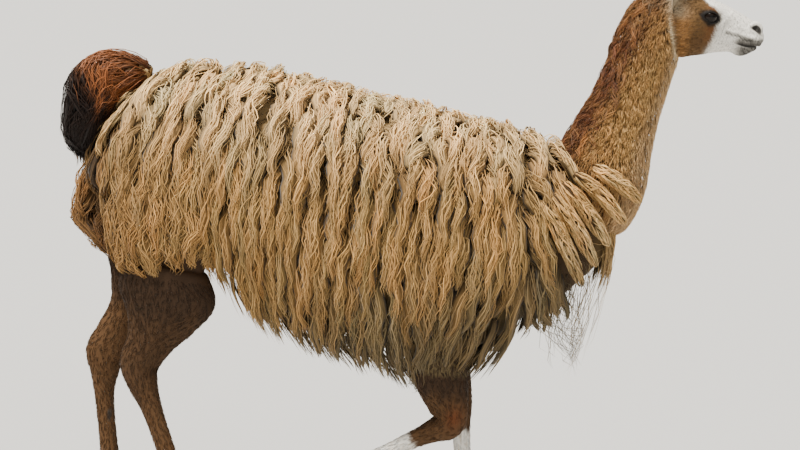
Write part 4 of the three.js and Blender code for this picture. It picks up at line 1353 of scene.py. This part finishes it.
class LLAMA_OT_neck_wool(bpy.types.Operator):
    """Cover the neck with short fine wool, a curled mane and heavy rolls at its foot"""
    bl_idname = "llama.neck_wool"
    bl_label = "Neck wool"

    def execute(self, context):
        rng = np.random.default_rng(13)
        finish = coat_finish("neck_wool", 0.8, 0.08, 0.88)
        coat = Coat("neck_fuzz")
        roots = lock_roots(NECK, 0.0127, rng, (0.02, 1.0))
        n = len(roots[0])
        front = smoothstep(np.abs(roots[1]), 2.2, 2.8)
        foot = 1 - smoothstep(roots[0], 0.1, 0.3)
        coat.add(NECK, roots, {
            "flow": against_limb, "swirl": 0.16 * rng.normal(0, 1, n), "curl": 0.25 * rng.normal(0, 1, n),
            "length": 0.022 + 0.010 * front + 0.03 * foot, "spread": 0.009, "gather": 0.2, "width": 0.0017,
            "lift": rng.uniform(0.82, 1.0, n), "tint": rng.uniform(0.95, 1.05, n), "dip": 0.0, "rust": 0.03,
            "depth": DEPTH["neck"] * 0.55, "crease_shade": 0.0, "roll": 0.2, "count": 8, "rings": 2}, "neck", rng)
        coat.piece(finish)
        coat = Coat("mane")
        roots = lock_roots(NECK, 0.021, rng, (0.12, 1.0))
        roots = chosen(roots, np.abs(roots[1]) < 1.15)
        n = len(roots[0])
        swirl = rng.normal(0, 1, n)
        coat.add(NECK, roots, {
            "flow": against_limb, "swirl": 0.5 * swirl, "curl": -0.9 * swirl, "wave": 0.5, "waves": 1.0,
            "length": 0.062 * rng.uniform(0.8, 1.2, n), "spread": 0.013, "gather": 0.6, "width": 0.0024,
            "lift": rng.uniform(0.8, 1.3, n), "tint": rng.uniform(0.7, 1.25, n), "core": 0.7,
            "dip": 0.3, "depth": DEPTH["neck"], "count": 10, "rings": 5}, "neck", rng)
        coat.piece(finish)
        coat = Coat("chest_rolls")
        for number, limb in enumerate(ROLLS):
            s, a = lock_roots(limb, 0.0125, rng, (0.0, 0.97))
            roots = chosen((s, a), limb.spans(s, a, 0)[2][:, 1] * limb.line[2, 1] > -0.1)
            n = len(roots[0])
            coat.add(limb, roots, {
                "flow": with_limb, "swirl": 0.34 * rng.normal(0, 1, n), "curl": 0.5 * rng.normal(0, 1, n),
                "wave": 0.5, "waves": 1.3, "length": 0.056 * rng.uniform(0.8, 1.5, n), "spread": 0.011,
                "gather": 0.25, "width": 0.0027, "lift": rng.uniform(0.7, 1.35, n), "dip": -0.1,
                "spring": 5.0, "tint": 1.25 * rng.uniform(0.85, 1.15, n), "crease_shade": 0.15,
                "stray": 0.006, "depth": DEPTH["roll"], "count": 4, "rings": 4}, "trunk", rng,
                (number * 0.1, number * 0.1 + 0.1))
        coat.piece(coat_finish("roll_wool", 0.85, 0.06, 0.75))
        return {"FINISHED"}


def tail_flow(points, along):
    """Back over the tail's root, then straight down."""
    x = drawn(points)[0]
    root = smoothstep(x, -770, -700)
    return DOWN + np.stack([-1.6 * root, 0 * root, 0.9 * root], -1)


class LLAMA_OT_tail_hair(bpy.types.Operator):
    """Cover the tail with long dark strands that fall from its root"""
    bl_idname = "llama.tail_hair"
    bl_label = "Tail hair"

    def execute(self, context):
        rng = np.random.default_rng(14)
        coat = Coat("tail_hair")
        roots = lock_roots(TAIL, 0.026, rng)
        n = len(roots[0])
        low = 1 - smoothstep(roots[0], 0.0, 0.35)
        coat.add(TAIL, roots, {
            "flow": tail_flow, "swirl": 0.16 * rng.normal(0, 1, n), "curl": 0.2 * rng.normal(0, 1, n),
            "wave": 0.1, "waves": 1.2, "length": (0.26 - 0.16 * low) * rng.uniform(0.55, 1.1, n),
            "spread": 0.020, "gather": 0.2, "width": 0.0026, "lift": rng.uniform(0.6, 1.35, n),
            "core": 0.5, "stray": 0.010, "spring": 4.0, "dip": rng.uniform(-0.3, 0.2, n), "hang": 0.15,
            "depth": DEPTH["tail"], "count": 12, "rings": 8, "ringed": True}, "tail", rng)
        coat.piece(coat_finish("tail_hair", 0.45, 0.0))
        return {"FINISHED"}


class LLAMA_OT_leg_hair(bpy.types.Operator):
    """Cover the legs and feet with short flat tufts"""
    bl_idname = "llama.leg_hair"
    bl_label = "Leg hair"

    def execute(self, context):
        rng = np.random.default_rng(15)
        finish = coat_finish("leg_hair", 0.55, 0.0, 0.85)
        for name in LEG_NAMES:
            limb = LEGS[name]
            coat = Coat(name.replace("leg", "leg_hair"))
            start = 0.12 if name.startswith("fore") else 0.05
            roots = lock_roots(limb, 0.0098, rng, (start, 1.0))
            n = len(roots[0])
            coat.add(limb, roots, {
                "flow": with_limb, "swirl": 0.22 * rng.normal(0, 1, n), "curl": 0.2 * rng.normal(0, 1, n),
                "length": 0.018 * rng.uniform(0.8, 1.2, n), "spread": 0.006, "gather": 0.2, "width": 0.0017,
                "lift": rng.uniform(0.3, 0.65, n), "tint": rng.uniform(0.94, 1.06, n), "dip": 0.0,
                "crease_shade": 0.0, "stray": 0.0, "roll": 0.15, "depth": DEPTH["leg"], "count": 3,
                "rings": 2}, "leg", rng)
            coat.piece(finish)
        return {"FINISHED"}


def face_flow(points, along):
    """Back from the nose and down."""
    return np.broadcast_to(np.array([-1.0, 0.0, -0.45]), points.shape)


def lashes(rng):
    """Curved lashes along both upper lids: each starts on the lid's edge, goes out and down by a
    square, and narrows to a point. Returns vertices, faces and the unwrap."""
    count, rings = 46, 6
    t = np.linspace(0, 1, rings)[None, :, None]
    verts, foot = [], []
    for side in SIDES:
        forwards, upwards, out = eye_frame(np.zeros(3), side)[3]
        a = np.linspace(-14, 13, count) + rng.normal(0, 0.4, count)
        arch = np.sqrt(np.clip(1 - np.abs(a / EYE_HALF_LENGTH) ** 1.7, 0, 1))
        b = EYE_HALF_HEIGHT * arch - EYE_SLANT * a + 0.6
        a, b = a[:, None, None], b[:, None, None]
        reach = rng.uniform(7, 12, (count, 1, 1)) * (0.7 + 0.02 * a)
        ball = EYE_RADIUS / MM
        height = np.sqrt(np.clip((ball + 1.0) ** 2 - a**2 - b**2, 9, None))
        line = (forwards * (a + 0.25 * a * t + 2.0 * t) + upwards * (b - 0.5 * reach * t**2)
                + out * (height + reach * (t - 0.3 * t**2)))
        width = 0.55 * (1.05 - t)
        around = np.array([0, 2.1, 4.2])
        ring = (np.cos(around)[:, None] * forwards + np.sin(around)[:, None] * upwards)[None, None]
        points = line[:, :, None] + ring * width[..., None]
        centre = EYE_AT * np.array([1, side, 1]) + SHIFT
        verts.append((points * MM + centre).reshape(-1, 3))
        patch = np.stack(np.broadcast_arrays(0.5 + 0.3 * side + 0.0001 * a, 0.5 + PATCH_SIZE * t), -1)
        foot.append(patch.reshape(-1, 2).repeat(3, 0))
    j = np.arange(3)
    first = np.arange(2 * count)[:, None, None] * rings * 3 + np.arange(rings - 1)[None, :, None] * 3
    beside = (j + 1) % 3
    quads = np.stack([first + j, first + beside, first + 3 + beside, first + 3 + j], -1).reshape(-1, 4)
    ends = np.arange(2 * count)[:, None] * rings * 3
    caps = np.vstack([ends + np.array([[2, 1, 0]]), ends + (rings - 1) * 3 + np.array([[0, 1, 2]])])
    return np.vstack(verts), quads, caps, np.vstack(foot)


class LLAMA_OT_lashes(bpy.types.Operator):
    """Set a row of dark lashes on each upper lid"""
    bl_idname = "llama.lashes"
    bl_label = "Lashes"

    def execute(self, context):
        verts, quads, caps, foot = lashes(np.random.default_rng(18))
        obj = new_mesh("lashes", verts, quads, caps)
        colours = filled(verts[:, 0], context.scene.llama_colours.dark)
        dress(obj, foot, foot, colours, coat_finish("lashes", 0.6, 0.0, 0.9))
        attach(obj, "root")
        return {"FINISHED"}


class LLAMA_OT_face_hair(bpy.types.Operator):
    """Cover the face and ears with the smallest tufts, longest at the cheeks and between the ears"""
    bl_idname = "llama.face_hair"
    bl_label = "Face hair"

    def execute(self, context):
        rng = np.random.default_rng(16)
        finish = coat_finish("face_hair", 0.7, 0.03, 0.85)
        coat = Coat("face_hair")
        s, a = lock_roots(FACE, 0.0062, rng, (0.02, 0.99))
        place = FACE.at(s, a, DEPTH["head"])
        x, y, z = drawn(place)
        keep = (along_line(x, z, MOUTH) > 2.5) | (x < 750)
        keep &= nostril_opening(x, z) > 1.5
        keep &= past_poll(x, z) > -8
        for side in SIDES:
            forwards, upwards, out, _ = eye_frame(place, side)
            keep &= (eye_opening(forwards, upwards) > 1.5) | (out < -10)
        roots = chosen((s, a), keep)
        n = len(roots[0])
        x, y, z = x[keep], y[keep], z[keep]
        rear = smoothstep(-x, -690, -600)
        crown = smoothstep(z + 0.2 * x, 1568, 1590) * (x < 650)
        coat.add(FACE, roots, {
            "flow": face_flow, "swirl": 0.15 * rng.normal(0, 1, n), "wave": 0.2 * rear,
            "length": 0.0065 + 0.012 * rear + 0.012 * crown, "spread": 0.004, "gather": 0.1,
            "width": 0.0010 + 0.0007 * rear, "lift": 0.4 + 1.4 * rear * rng.uniform(0.5, 1, n),
            "tint": rng.uniform(0.96, 1.04, n), "rust": 0.02, "dip": 0.0, "stray": 0.0, "roll": 0.12,
            "crease_shade": 0.1, "depth": DEPTH["head"], "count": 3, "rings": 2}, "head", rng)
        coat.piece(finish)
        coat = Coat("ear_hair")
        for side in SIDES:
            roots = lock_roots(EARS[side], 0.0062, rng, (0.02, 0.97))
            n = len(roots[0])
            coat.add(EARS[side], roots, {
                "flow": with_limb, "swirl": 0.15 * rng.normal(0, 1, n), "length": 0.012, "spread": 0.004,
                "gather": 0.1, "width": 0.0012, "depth": 0.0015, "count": 3, "rings": 2, "dip": 0.0,
                "stray": 0.0}, "ear", rng, ((side < 0) * 0.5, (side < 0) * 0.5 + 0.5))
        coat.piece(finish)
        return {"FINISHED"}


# ------------------------------------------------------------------------------ finishes
class Graph:
    """A small writer of node trees."""

    def __init__(self, tree):
        self.tree = tree

    def node(self, kind, inputs=None, **settings):
        """A node with its settings; inputs are values or sockets by name or number."""
        made = self.tree.nodes.new(kind)
        for key, value in settings.items():
            setattr(made, key, value)
        for key, value in (inputs or {}).items():
            if isinstance(value, bpy.types.NodeSocket):
                self.tree.links.new(value, made.inputs[key])
            else:
                made.inputs[key].default_value = value
        return made

    def math(self, operation, *values, clamp=False):
        """The result of a maths node on numbers or sockets."""
        inputs = dict(enumerate(values))
        return self.node("ShaderNodeMath", inputs, operation=operation, use_clamp=clamp).outputs[0]

    def mix(self, factor, first, second, blend="MIX"):
        """Two colours mixed by factor."""
        inputs = {0: factor, 6: first, 7: second}
        return self.node("ShaderNodeMix", inputs, data_type="RGBA", blend_type=blend).outputs[2]


def new_material(name):
    """An empty material and the writer of its nodes."""
    material = bpy.data.materials.new(name)
    material.use_nodes = True
    material.node_tree.nodes.clear()
    return material, Graph(material.node_tree)


def closed(graph, shader_inputs):
    """Ends a material with one principled surface."""
    shader = graph.node("ShaderNodeBsdfPrincipled", shader_inputs)
    graph.node("ShaderNodeOutputMaterial", {"Surface": shader.outputs[0]})


def group_of(name, inputs, outputs):
    """A shared node group with named sockets: (kind, name, value) for inputs, (kind, name) for
    outputs."""
    tree = bpy.data.node_groups.new(name, "ShaderNodeTree")
    for kind, label, value in inputs:
        socket = tree.interface.new_socket(label, in_out="INPUT", socket_type=kind)
        if value is not None:
            socket.default_value = value
    for kind, label in outputs:
        tree.interface.new_socket(label, in_out="OUTPUT", socket_type=kind)
    graph = Graph(tree)
    return graph, graph.node("NodeGroupInput").outputs, graph.node("NodeGroupOutput").inputs


def strand_group():
    """Colour and relief of a strand: darker at the root as painted shade, lighter to the tip, with fine
    streaks that run its whole length."""
    name = "Strand look"
    if name in bpy.data.node_groups:
        return bpy.data.node_groups[name]
    graph, given, wanted = group_of(name, (
        ("NodeSocketColor", "Colour", None), ("NodeSocketVector", "Strand", None),
        ("NodeSocketFloat", "Root shade", 0.4), ("NodeSocketFloat", "Streaks", 3.0)),
        (("NodeSocketColor", "Colour"), ("NodeSocketVector", "Normal")))
    parts = graph.node("ShaderNodeSeparateXYZ", {0: given["Strand"]})
    across, along = parts.outputs[0], parts.outputs[1]
    spot = graph.node("ShaderNodeTexCoord").outputs["Object"]
    broad = graph.node("ShaderNodeTexNoise", {"Vector": spot, "Scale": 60.0, "Detail": 2.0})
    lined = graph.node("ShaderNodeCombineXYZ", {0: graph.math("MULTIPLY", across, given["Streaks"]),
                                                1: graph.math("MULTIPLY", along, 2.5),
                                                2: broad.outputs[0]})
    streak = graph.node("ShaderNodeTexNoise", {"Vector": lined.outputs[0], "Scale": 1.0, "Detail": 2.0})
    # Painted shade: the colour darkens towards the root.
    rise = graph.math("MINIMUM", graph.math("MULTIPLY", along, 2.6), 1.0)
    shade = graph.math("ADD", given["Root shade"],
                       graph.math("MULTIPLY", rise, graph.math("SUBTRACT", 1.0, given["Root shade"])))
    streaked = graph.math("ADD", 0.2, graph.math("MULTIPLY", streak.outputs[0], 1.8))
    shade = graph.math("MULTIPLY", shade, streaked)
    tone = graph.node("ShaderNodeCombineColor", {0: shade, 1: shade, 2: shade}).outputs[0]
    colour = graph.mix(1.0, given["Colour"], tone, "MULTIPLY")
    graph.tree.links.new(colour, wanted["Colour"])
    bump = graph.node("ShaderNodeBump", {"Height": streak.outputs[0], "Strength": 0.5, "Distance": 0.001})
    graph.tree.links.new(bump.outputs[0], wanted["Normal"])
    return graph.tree


def coat_finish(name, roughness, sheen, root_shade=0.4):
    """Hair or wool: each strand's own colour with the shared strand look, soft at grazing angles."""
    material, graph = new_material(name)
    marking = graph.node("ShaderNodeAttribute", attribute_name="Marking").outputs["Color"]
    strand = graph.node("ShaderNodeUVMap", uv_map="Strand").outputs[0]
    look = graph.node("ShaderNodeGroup", node_tree=strand_group())
    graph.tree.links.new(marking, look.inputs["Colour"])
    graph.tree.links.new(strand, look.inputs["Strand"])
    look.inputs["Root shade"].default_value = root_shade
    closed(graph, {"Base Color": look.outputs["Colour"], "Normal": look.outputs["Normal"],
                   "Roughness": roughness, "Specular IOR Level": 0.22, "Sheen Weight": sheen,
                   "Sheen Roughness": 0.5})
    return material


def skin_finish():
    """Skin under its shortest hair: the markings, flecked, with a relief of fine hairs lying along."""
    material, graph = new_material("skin")
    marking = graph.node("ShaderNodeAttribute", attribute_name="Marking").outputs["Color"]
    spot = graph.node("ShaderNodeTexCoord").outputs["Object"]
    hairs = graph.node("ShaderNodeMapping", {"Vector": spot, "Scale": (260.0, 900.0, 420.0)}).outputs[0]
    fine = graph.node("ShaderNodeTexNoise", {"Vector": hairs, "Scale": 1.0, "Detail": 3.0}).outputs[0]
    soft = graph.node("ShaderNodeTexNoise", {"Vector": spot, "Scale": 45.0, "Detail": 4.0}).outputs[0]
    tone = graph.math("ADD", 0.62, graph.math("MULTIPLY", graph.math("ADD", fine, soft), 0.36))
    grey = graph.node("ShaderNodeCombineColor", {0: tone, 1: tone, 2: tone}).outputs[0]
    bump = graph.node("ShaderNodeBump", {"Height": fine, "Strength": 0.35, "Distance": 0.0008})
    closed(graph, {"Base Color": graph.mix(1.0, marking, grey, "MULTIPLY"), "Roughness": 0.72,
                   "Specular IOR Level": 0.18, "Normal": bump.outputs[0]})
    return material


def eye_finish():
    """A dark brown iris with a level pupil under a clear wet coat."""
    name = "eyeball"
    if name in bpy.data.materials:
        return bpy.data.materials[name]
    material, graph = new_material(name)
    gaze = graph.node("ShaderNodeAttribute", attribute_name="Gaze").outputs["Vector"]
    parts = graph.node("ShaderNodeSeparateXYZ", {0: gaze})
    forwards, upwards = parts.outputs[0], parts.outputs[1]
    wide = graph.math("POWER", graph.math("DIVIDE", forwards, 0.42), 2.0)
    tall = graph.math("POWER", graph.math("DIVIDE", upwards, 0.2), 2.0)
    pupil = graph.math("SUBTRACT", 1.3, graph.math("ADD", wide, tall), clamp=True)
    rays = graph.node("ShaderNodeTexNoise", {"Vector": gaze, "Scale": 14.0, "Detail": 3.0}).outputs[0]
    colours = bpy.context.scene.llama_colours
    iris = graph.mix(rays, (*colours.iris, 1.0), (*[c * 0.35 for c in colours.iris], 1.0))
    closed(graph, {"Base Color": graph.mix(pupil, iris, (0.0008, 0.0008, 0.001, 1.0)), "Roughness": 0.25,
                   "Specular IOR Level": 0.1, "Coat Weight": 0.35, "Coat Roughness": 0.03, "Coat IOR": 1.33})
    return material


def nail_finish():
    """Dark horn with fine growth lines."""
    material, graph = new_material("nail")
    spot = graph.node("ShaderNodeTexCoord").outputs["Object"]
    waves = {"Vector": spot, "Scale": 160.0, "Distortion": 3.0, "Detail": 2.0}
    lines = graph.node("ShaderNodeTexWave", waves).outputs[1]
    horn = bpy.context.scene.llama_colours.nail
    colour = graph.mix(lines, (*horn, 1.0), (*[c * 0.55 for c in horn], 1.0))
    bump = graph.node("ShaderNodeBump", {"Height": lines, "Strength": 0.2, "Distance": 0.0004})
    closed(graph, {"Base Color": colour, "Roughness": 0.38, "Normal": bump.outputs[0]})
    return material


# ------------------------------------------------------------------------------ studio
FOCAL_LENGTH = 90.0
SENSOR_WIDTH = 36.0
CAMERA_ROLL = math.radians(5.6)
CAMERA_PITCH = math.atan(0.1425)
CAMERA_PLACE = (0, -4.8485, 1.5)
CAMERA_REACH = 1000
FLOOR_HALF = 300.0
SKY_COLOUR = (0.95, 0.97, 1.0, 1)
LAMP_COLOUR = (1.0, 0.95, 0.87)
SIDE_LIGHT = 0.6


class LLAMA_OT_studio(bpy.types.Operator):
    """Lay the pale floor, hang the soft lights and aim the camera"""
    bl_idname = "llama.studio"
    bl_label = "Studio"

    def execute(self, context):
        scene = context.scene
        corners = FLOOR_HALF * np.array([(-1, -1, 0), (1, -1, 0), (1, 1, 0), (-1, 1, 0)])
        floor = new_mesh("floor", corners, np.array([[0, 1, 2, 3]]), np.zeros((0, 3), int))
        material, graph = new_material("floor")
        closed(graph, {"Base Color": (*scene.llama_colours.floor, 1.0), "Roughness": 0.9})
        floor.data.materials.append(material)
        world = bpy.data.worlds.new("studio")
        world.use_nodes = True
        sky = world.node_tree.nodes["Background"]
        sky.inputs[0].default_value = SKY_COLOUR
        sky.inputs[1].default_value = scene.llama_sizes.fill
        scene.world = world
        for name, energy, angle, turn in (("key", scene.llama_sizes.key, 12, (-0.45, -0.38, 1.2)),
                                          ("side", SIDE_LIGHT, 60, (0.3, -1.0, 0.5))):
            lamp = bpy.data.lights.new(name, "SUN")
            lamp.energy = energy
            lamp.color = LAMP_COLOUR
            lamp.angle = math.radians(angle)
            obj = bpy.data.objects.new(name, lamp)
            obj.rotation_euler = Vector(turn).to_track_quat("Z", "Y").to_euler()
            scene.collection.objects.link(obj)
        camera = bpy.data.objects.new("camera", bpy.data.cameras.new("camera"))
        camera.data.lens = FOCAL_LENGTH
        camera.data.sensor_width = SENSOR_WIDTH
        camera.data.clip_end = CAMERA_REACH
        ahead = Vector((0, math.cos(CAMERA_PITCH), -math.sin(CAMERA_PITCH)))
        level = Vector((1, 0, 0))
        rise = level.cross(ahead)
        c, s = math.cos(CAMERA_ROLL), math.sin(CAMERA_ROLL)
        aim = Matrix((c * level + s * rise, -s * level + c * rise, -ahead)).transposed().to_4x4()
        camera.matrix_world = Matrix.Translation(Vector(CAMERA_PLACE) + Vector(SHIFT)) @ aim
        scene.collection.objects.link(camera)
        scene.camera = camera
        return {"FINISHED"}


# ------------------------------------------------------------------------------ add-on
def colour_of(name, description, value):
    """A colour property."""
    return bpy.props.FloatVectorProperty(name=name, description=description, default=value, size=3,
                                         subtype="COLOR", min=0, max=1)


class LlamaSizes(bpy.types.PropertyGroup):
    """Sizes and strengths that drive the model and its studio"""
    lock_spacing: bpy.props.FloatProperty(
        name="Lock spacing", description="Gap between two locks of body fleece", default=0.048, unit="LENGTH")
    key: bpy.props.FloatProperty(
        name="Key light", description="Strength of the main lamp", default=9.6)
    fill: bpy.props.FloatProperty(
        name="Fill light", description="Strength of the light from all round", default=0.34)


class LlamaColours(bpy.types.PropertyGroup):
    """The coat's and body's colours"""
    fleece: colour_of("Fleece", "Body wool on the flanks", (0.47, 0.27, 0.088))
    pale_fleece: colour_of("Pale fleece", "Body wool along the back", (1.0, 0.70, 0.34))
    golden_brown: colour_of("Golden brown", "Wool at the rear and the neck's sides", (0.27, 0.13, 0.040))
    neck: colour_of("Neck", "The fine wool on the neck's sides", (0.42, 0.225, 0.066))
    belly: colour_of("Belly", "Greyer wool under the body", (0.165, 0.122, 0.058))
    auburn: colour_of("Auburn", "The mane, the brow and the fore knees", (0.122, 0.038, 0.011))
    tail: colour_of("Tail", "The tail's long hair", (0.012, 0.006, 0.004))
    tail_top: colour_of("Tail's top", "The tail's hair at its root", (0.30, 0.105, 0.036))
    # Partly a painted highlight along the neck's front edge.
    throat: colour_of("Throat", "The pale front of the neck", (0.66, 0.45, 0.25))
    # Partly a painted highlight where the neck meets the cheek.
    cream: colour_of("Cream", "The line behind the jaw", (0.66, 0.52, 0.33))
    ear: colour_of("Ear", "The ears' hair", (0.40, 0.32, 0.21))
    cheek: colour_of("Cheek", "The brown side of the head", (0.102, 0.054, 0.018))
    white: colour_of("White", "The face and the socks", (0.80, 0.77, 0.70))
    # Also painted shade along the lip's fold and in the ears' hollows.
    grey: colour_of("Grey", "The lips and the ears", (0.032, 0.028, 0.024))
    # Also painted shade along the mouth line and inside the nostrils.
    dark: colour_of("Dark", "Bare skin round the eyes and nostrils", (0.005, 0.0035, 0.003))
    leg: colour_of("Leg", "Short hair on the legs", (0.078, 0.038, 0.014))
    # Also painted shade: in the crease by the tail, on the thighs' inner sides, at the top of the hind legs
    # and down the near right hind leg.
    dark_brown: colour_of("Dark brown", "The upper legs", (0.028, 0.014, 0.006))
    iris: colour_of("Iris", "The eye round its pupil", (0.010, 0.005, 0.003))
    nail: colour_of("Nail", "The horn of the nails", (0.05, 0.04, 0.032))
    floor: colour_of("Floor", "The studio's floor", (0.55, 0.55, 0.54))


OPERATORS = (LLAMA_OT_skin, LLAMA_OT_eyes, LLAMA_OT_nails, LLAMA_OT_fleece, LLAMA_OT_wisps,
             LLAMA_OT_thigh_wool, LLAMA_OT_neck_wool, LLAMA_OT_tail_hair, LLAMA_OT_leg_hair,
             LLAMA_OT_face_hair, LLAMA_OT_lashes, LLAMA_OT_studio)


class LLAMA_PT_panel(bpy.types.Panel):
    """Buttons for each piece, with the sizes and colours above them"""
    bl_idname = "LLAMA_PT_panel"
    bl_label = "Llama"
    bl_space_type = "VIEW_3D"
    bl_region_type = "UI"
    bl_category = "Llama"

    def draw(self, context):
        for settings in (context.scene.llama_sizes, context.scene.llama_colours):
            for key in settings.__annotations__:
                self.layout.prop(settings, key)
        for operator in OPERATORS:
            self.layout.operator(operator.bl_idname)


CLASSES = (LlamaSizes, LlamaColours, *OPERATORS, LLAMA_PT_panel)


def register():
    """Adds the add-on's classes and settings to Blender."""
    for cls in CLASSES:
        bpy.utils.register_class(cls)
    bpy.types.Scene.llama_sizes = bpy.props.PointerProperty(type=LlamaSizes)
    bpy.types.Scene.llama_colours = bpy.props.PointerProperty(type=LlamaColours)


def unregister():
    """Takes them away again."""
    del bpy.types.Scene.llama_colours
    del bpy.types.Scene.llama_sizes
    for cls in reversed(CLASSES):
        bpy.utils.unregister_class(cls)


def main():
    """Builds every piece in order."""
    register()
    bpy.ops.llama.skin()
    bpy.ops.llama.eyes()
    bpy.ops.llama.nails()
    bpy.ops.llama.fleece()
    bpy.ops.llama.wisps()
    bpy.ops.llama.thigh_wool()
    bpy.ops.llama.neck_wool()
    bpy.ops.llama.tail_hair()
    bpy.ops.llama.leg_hair()
    bpy.ops.llama.face_hair()
    bpy.ops.llama.lashes()
    bpy.ops.llama.studio()


if __name__ == "__main__":
    main()
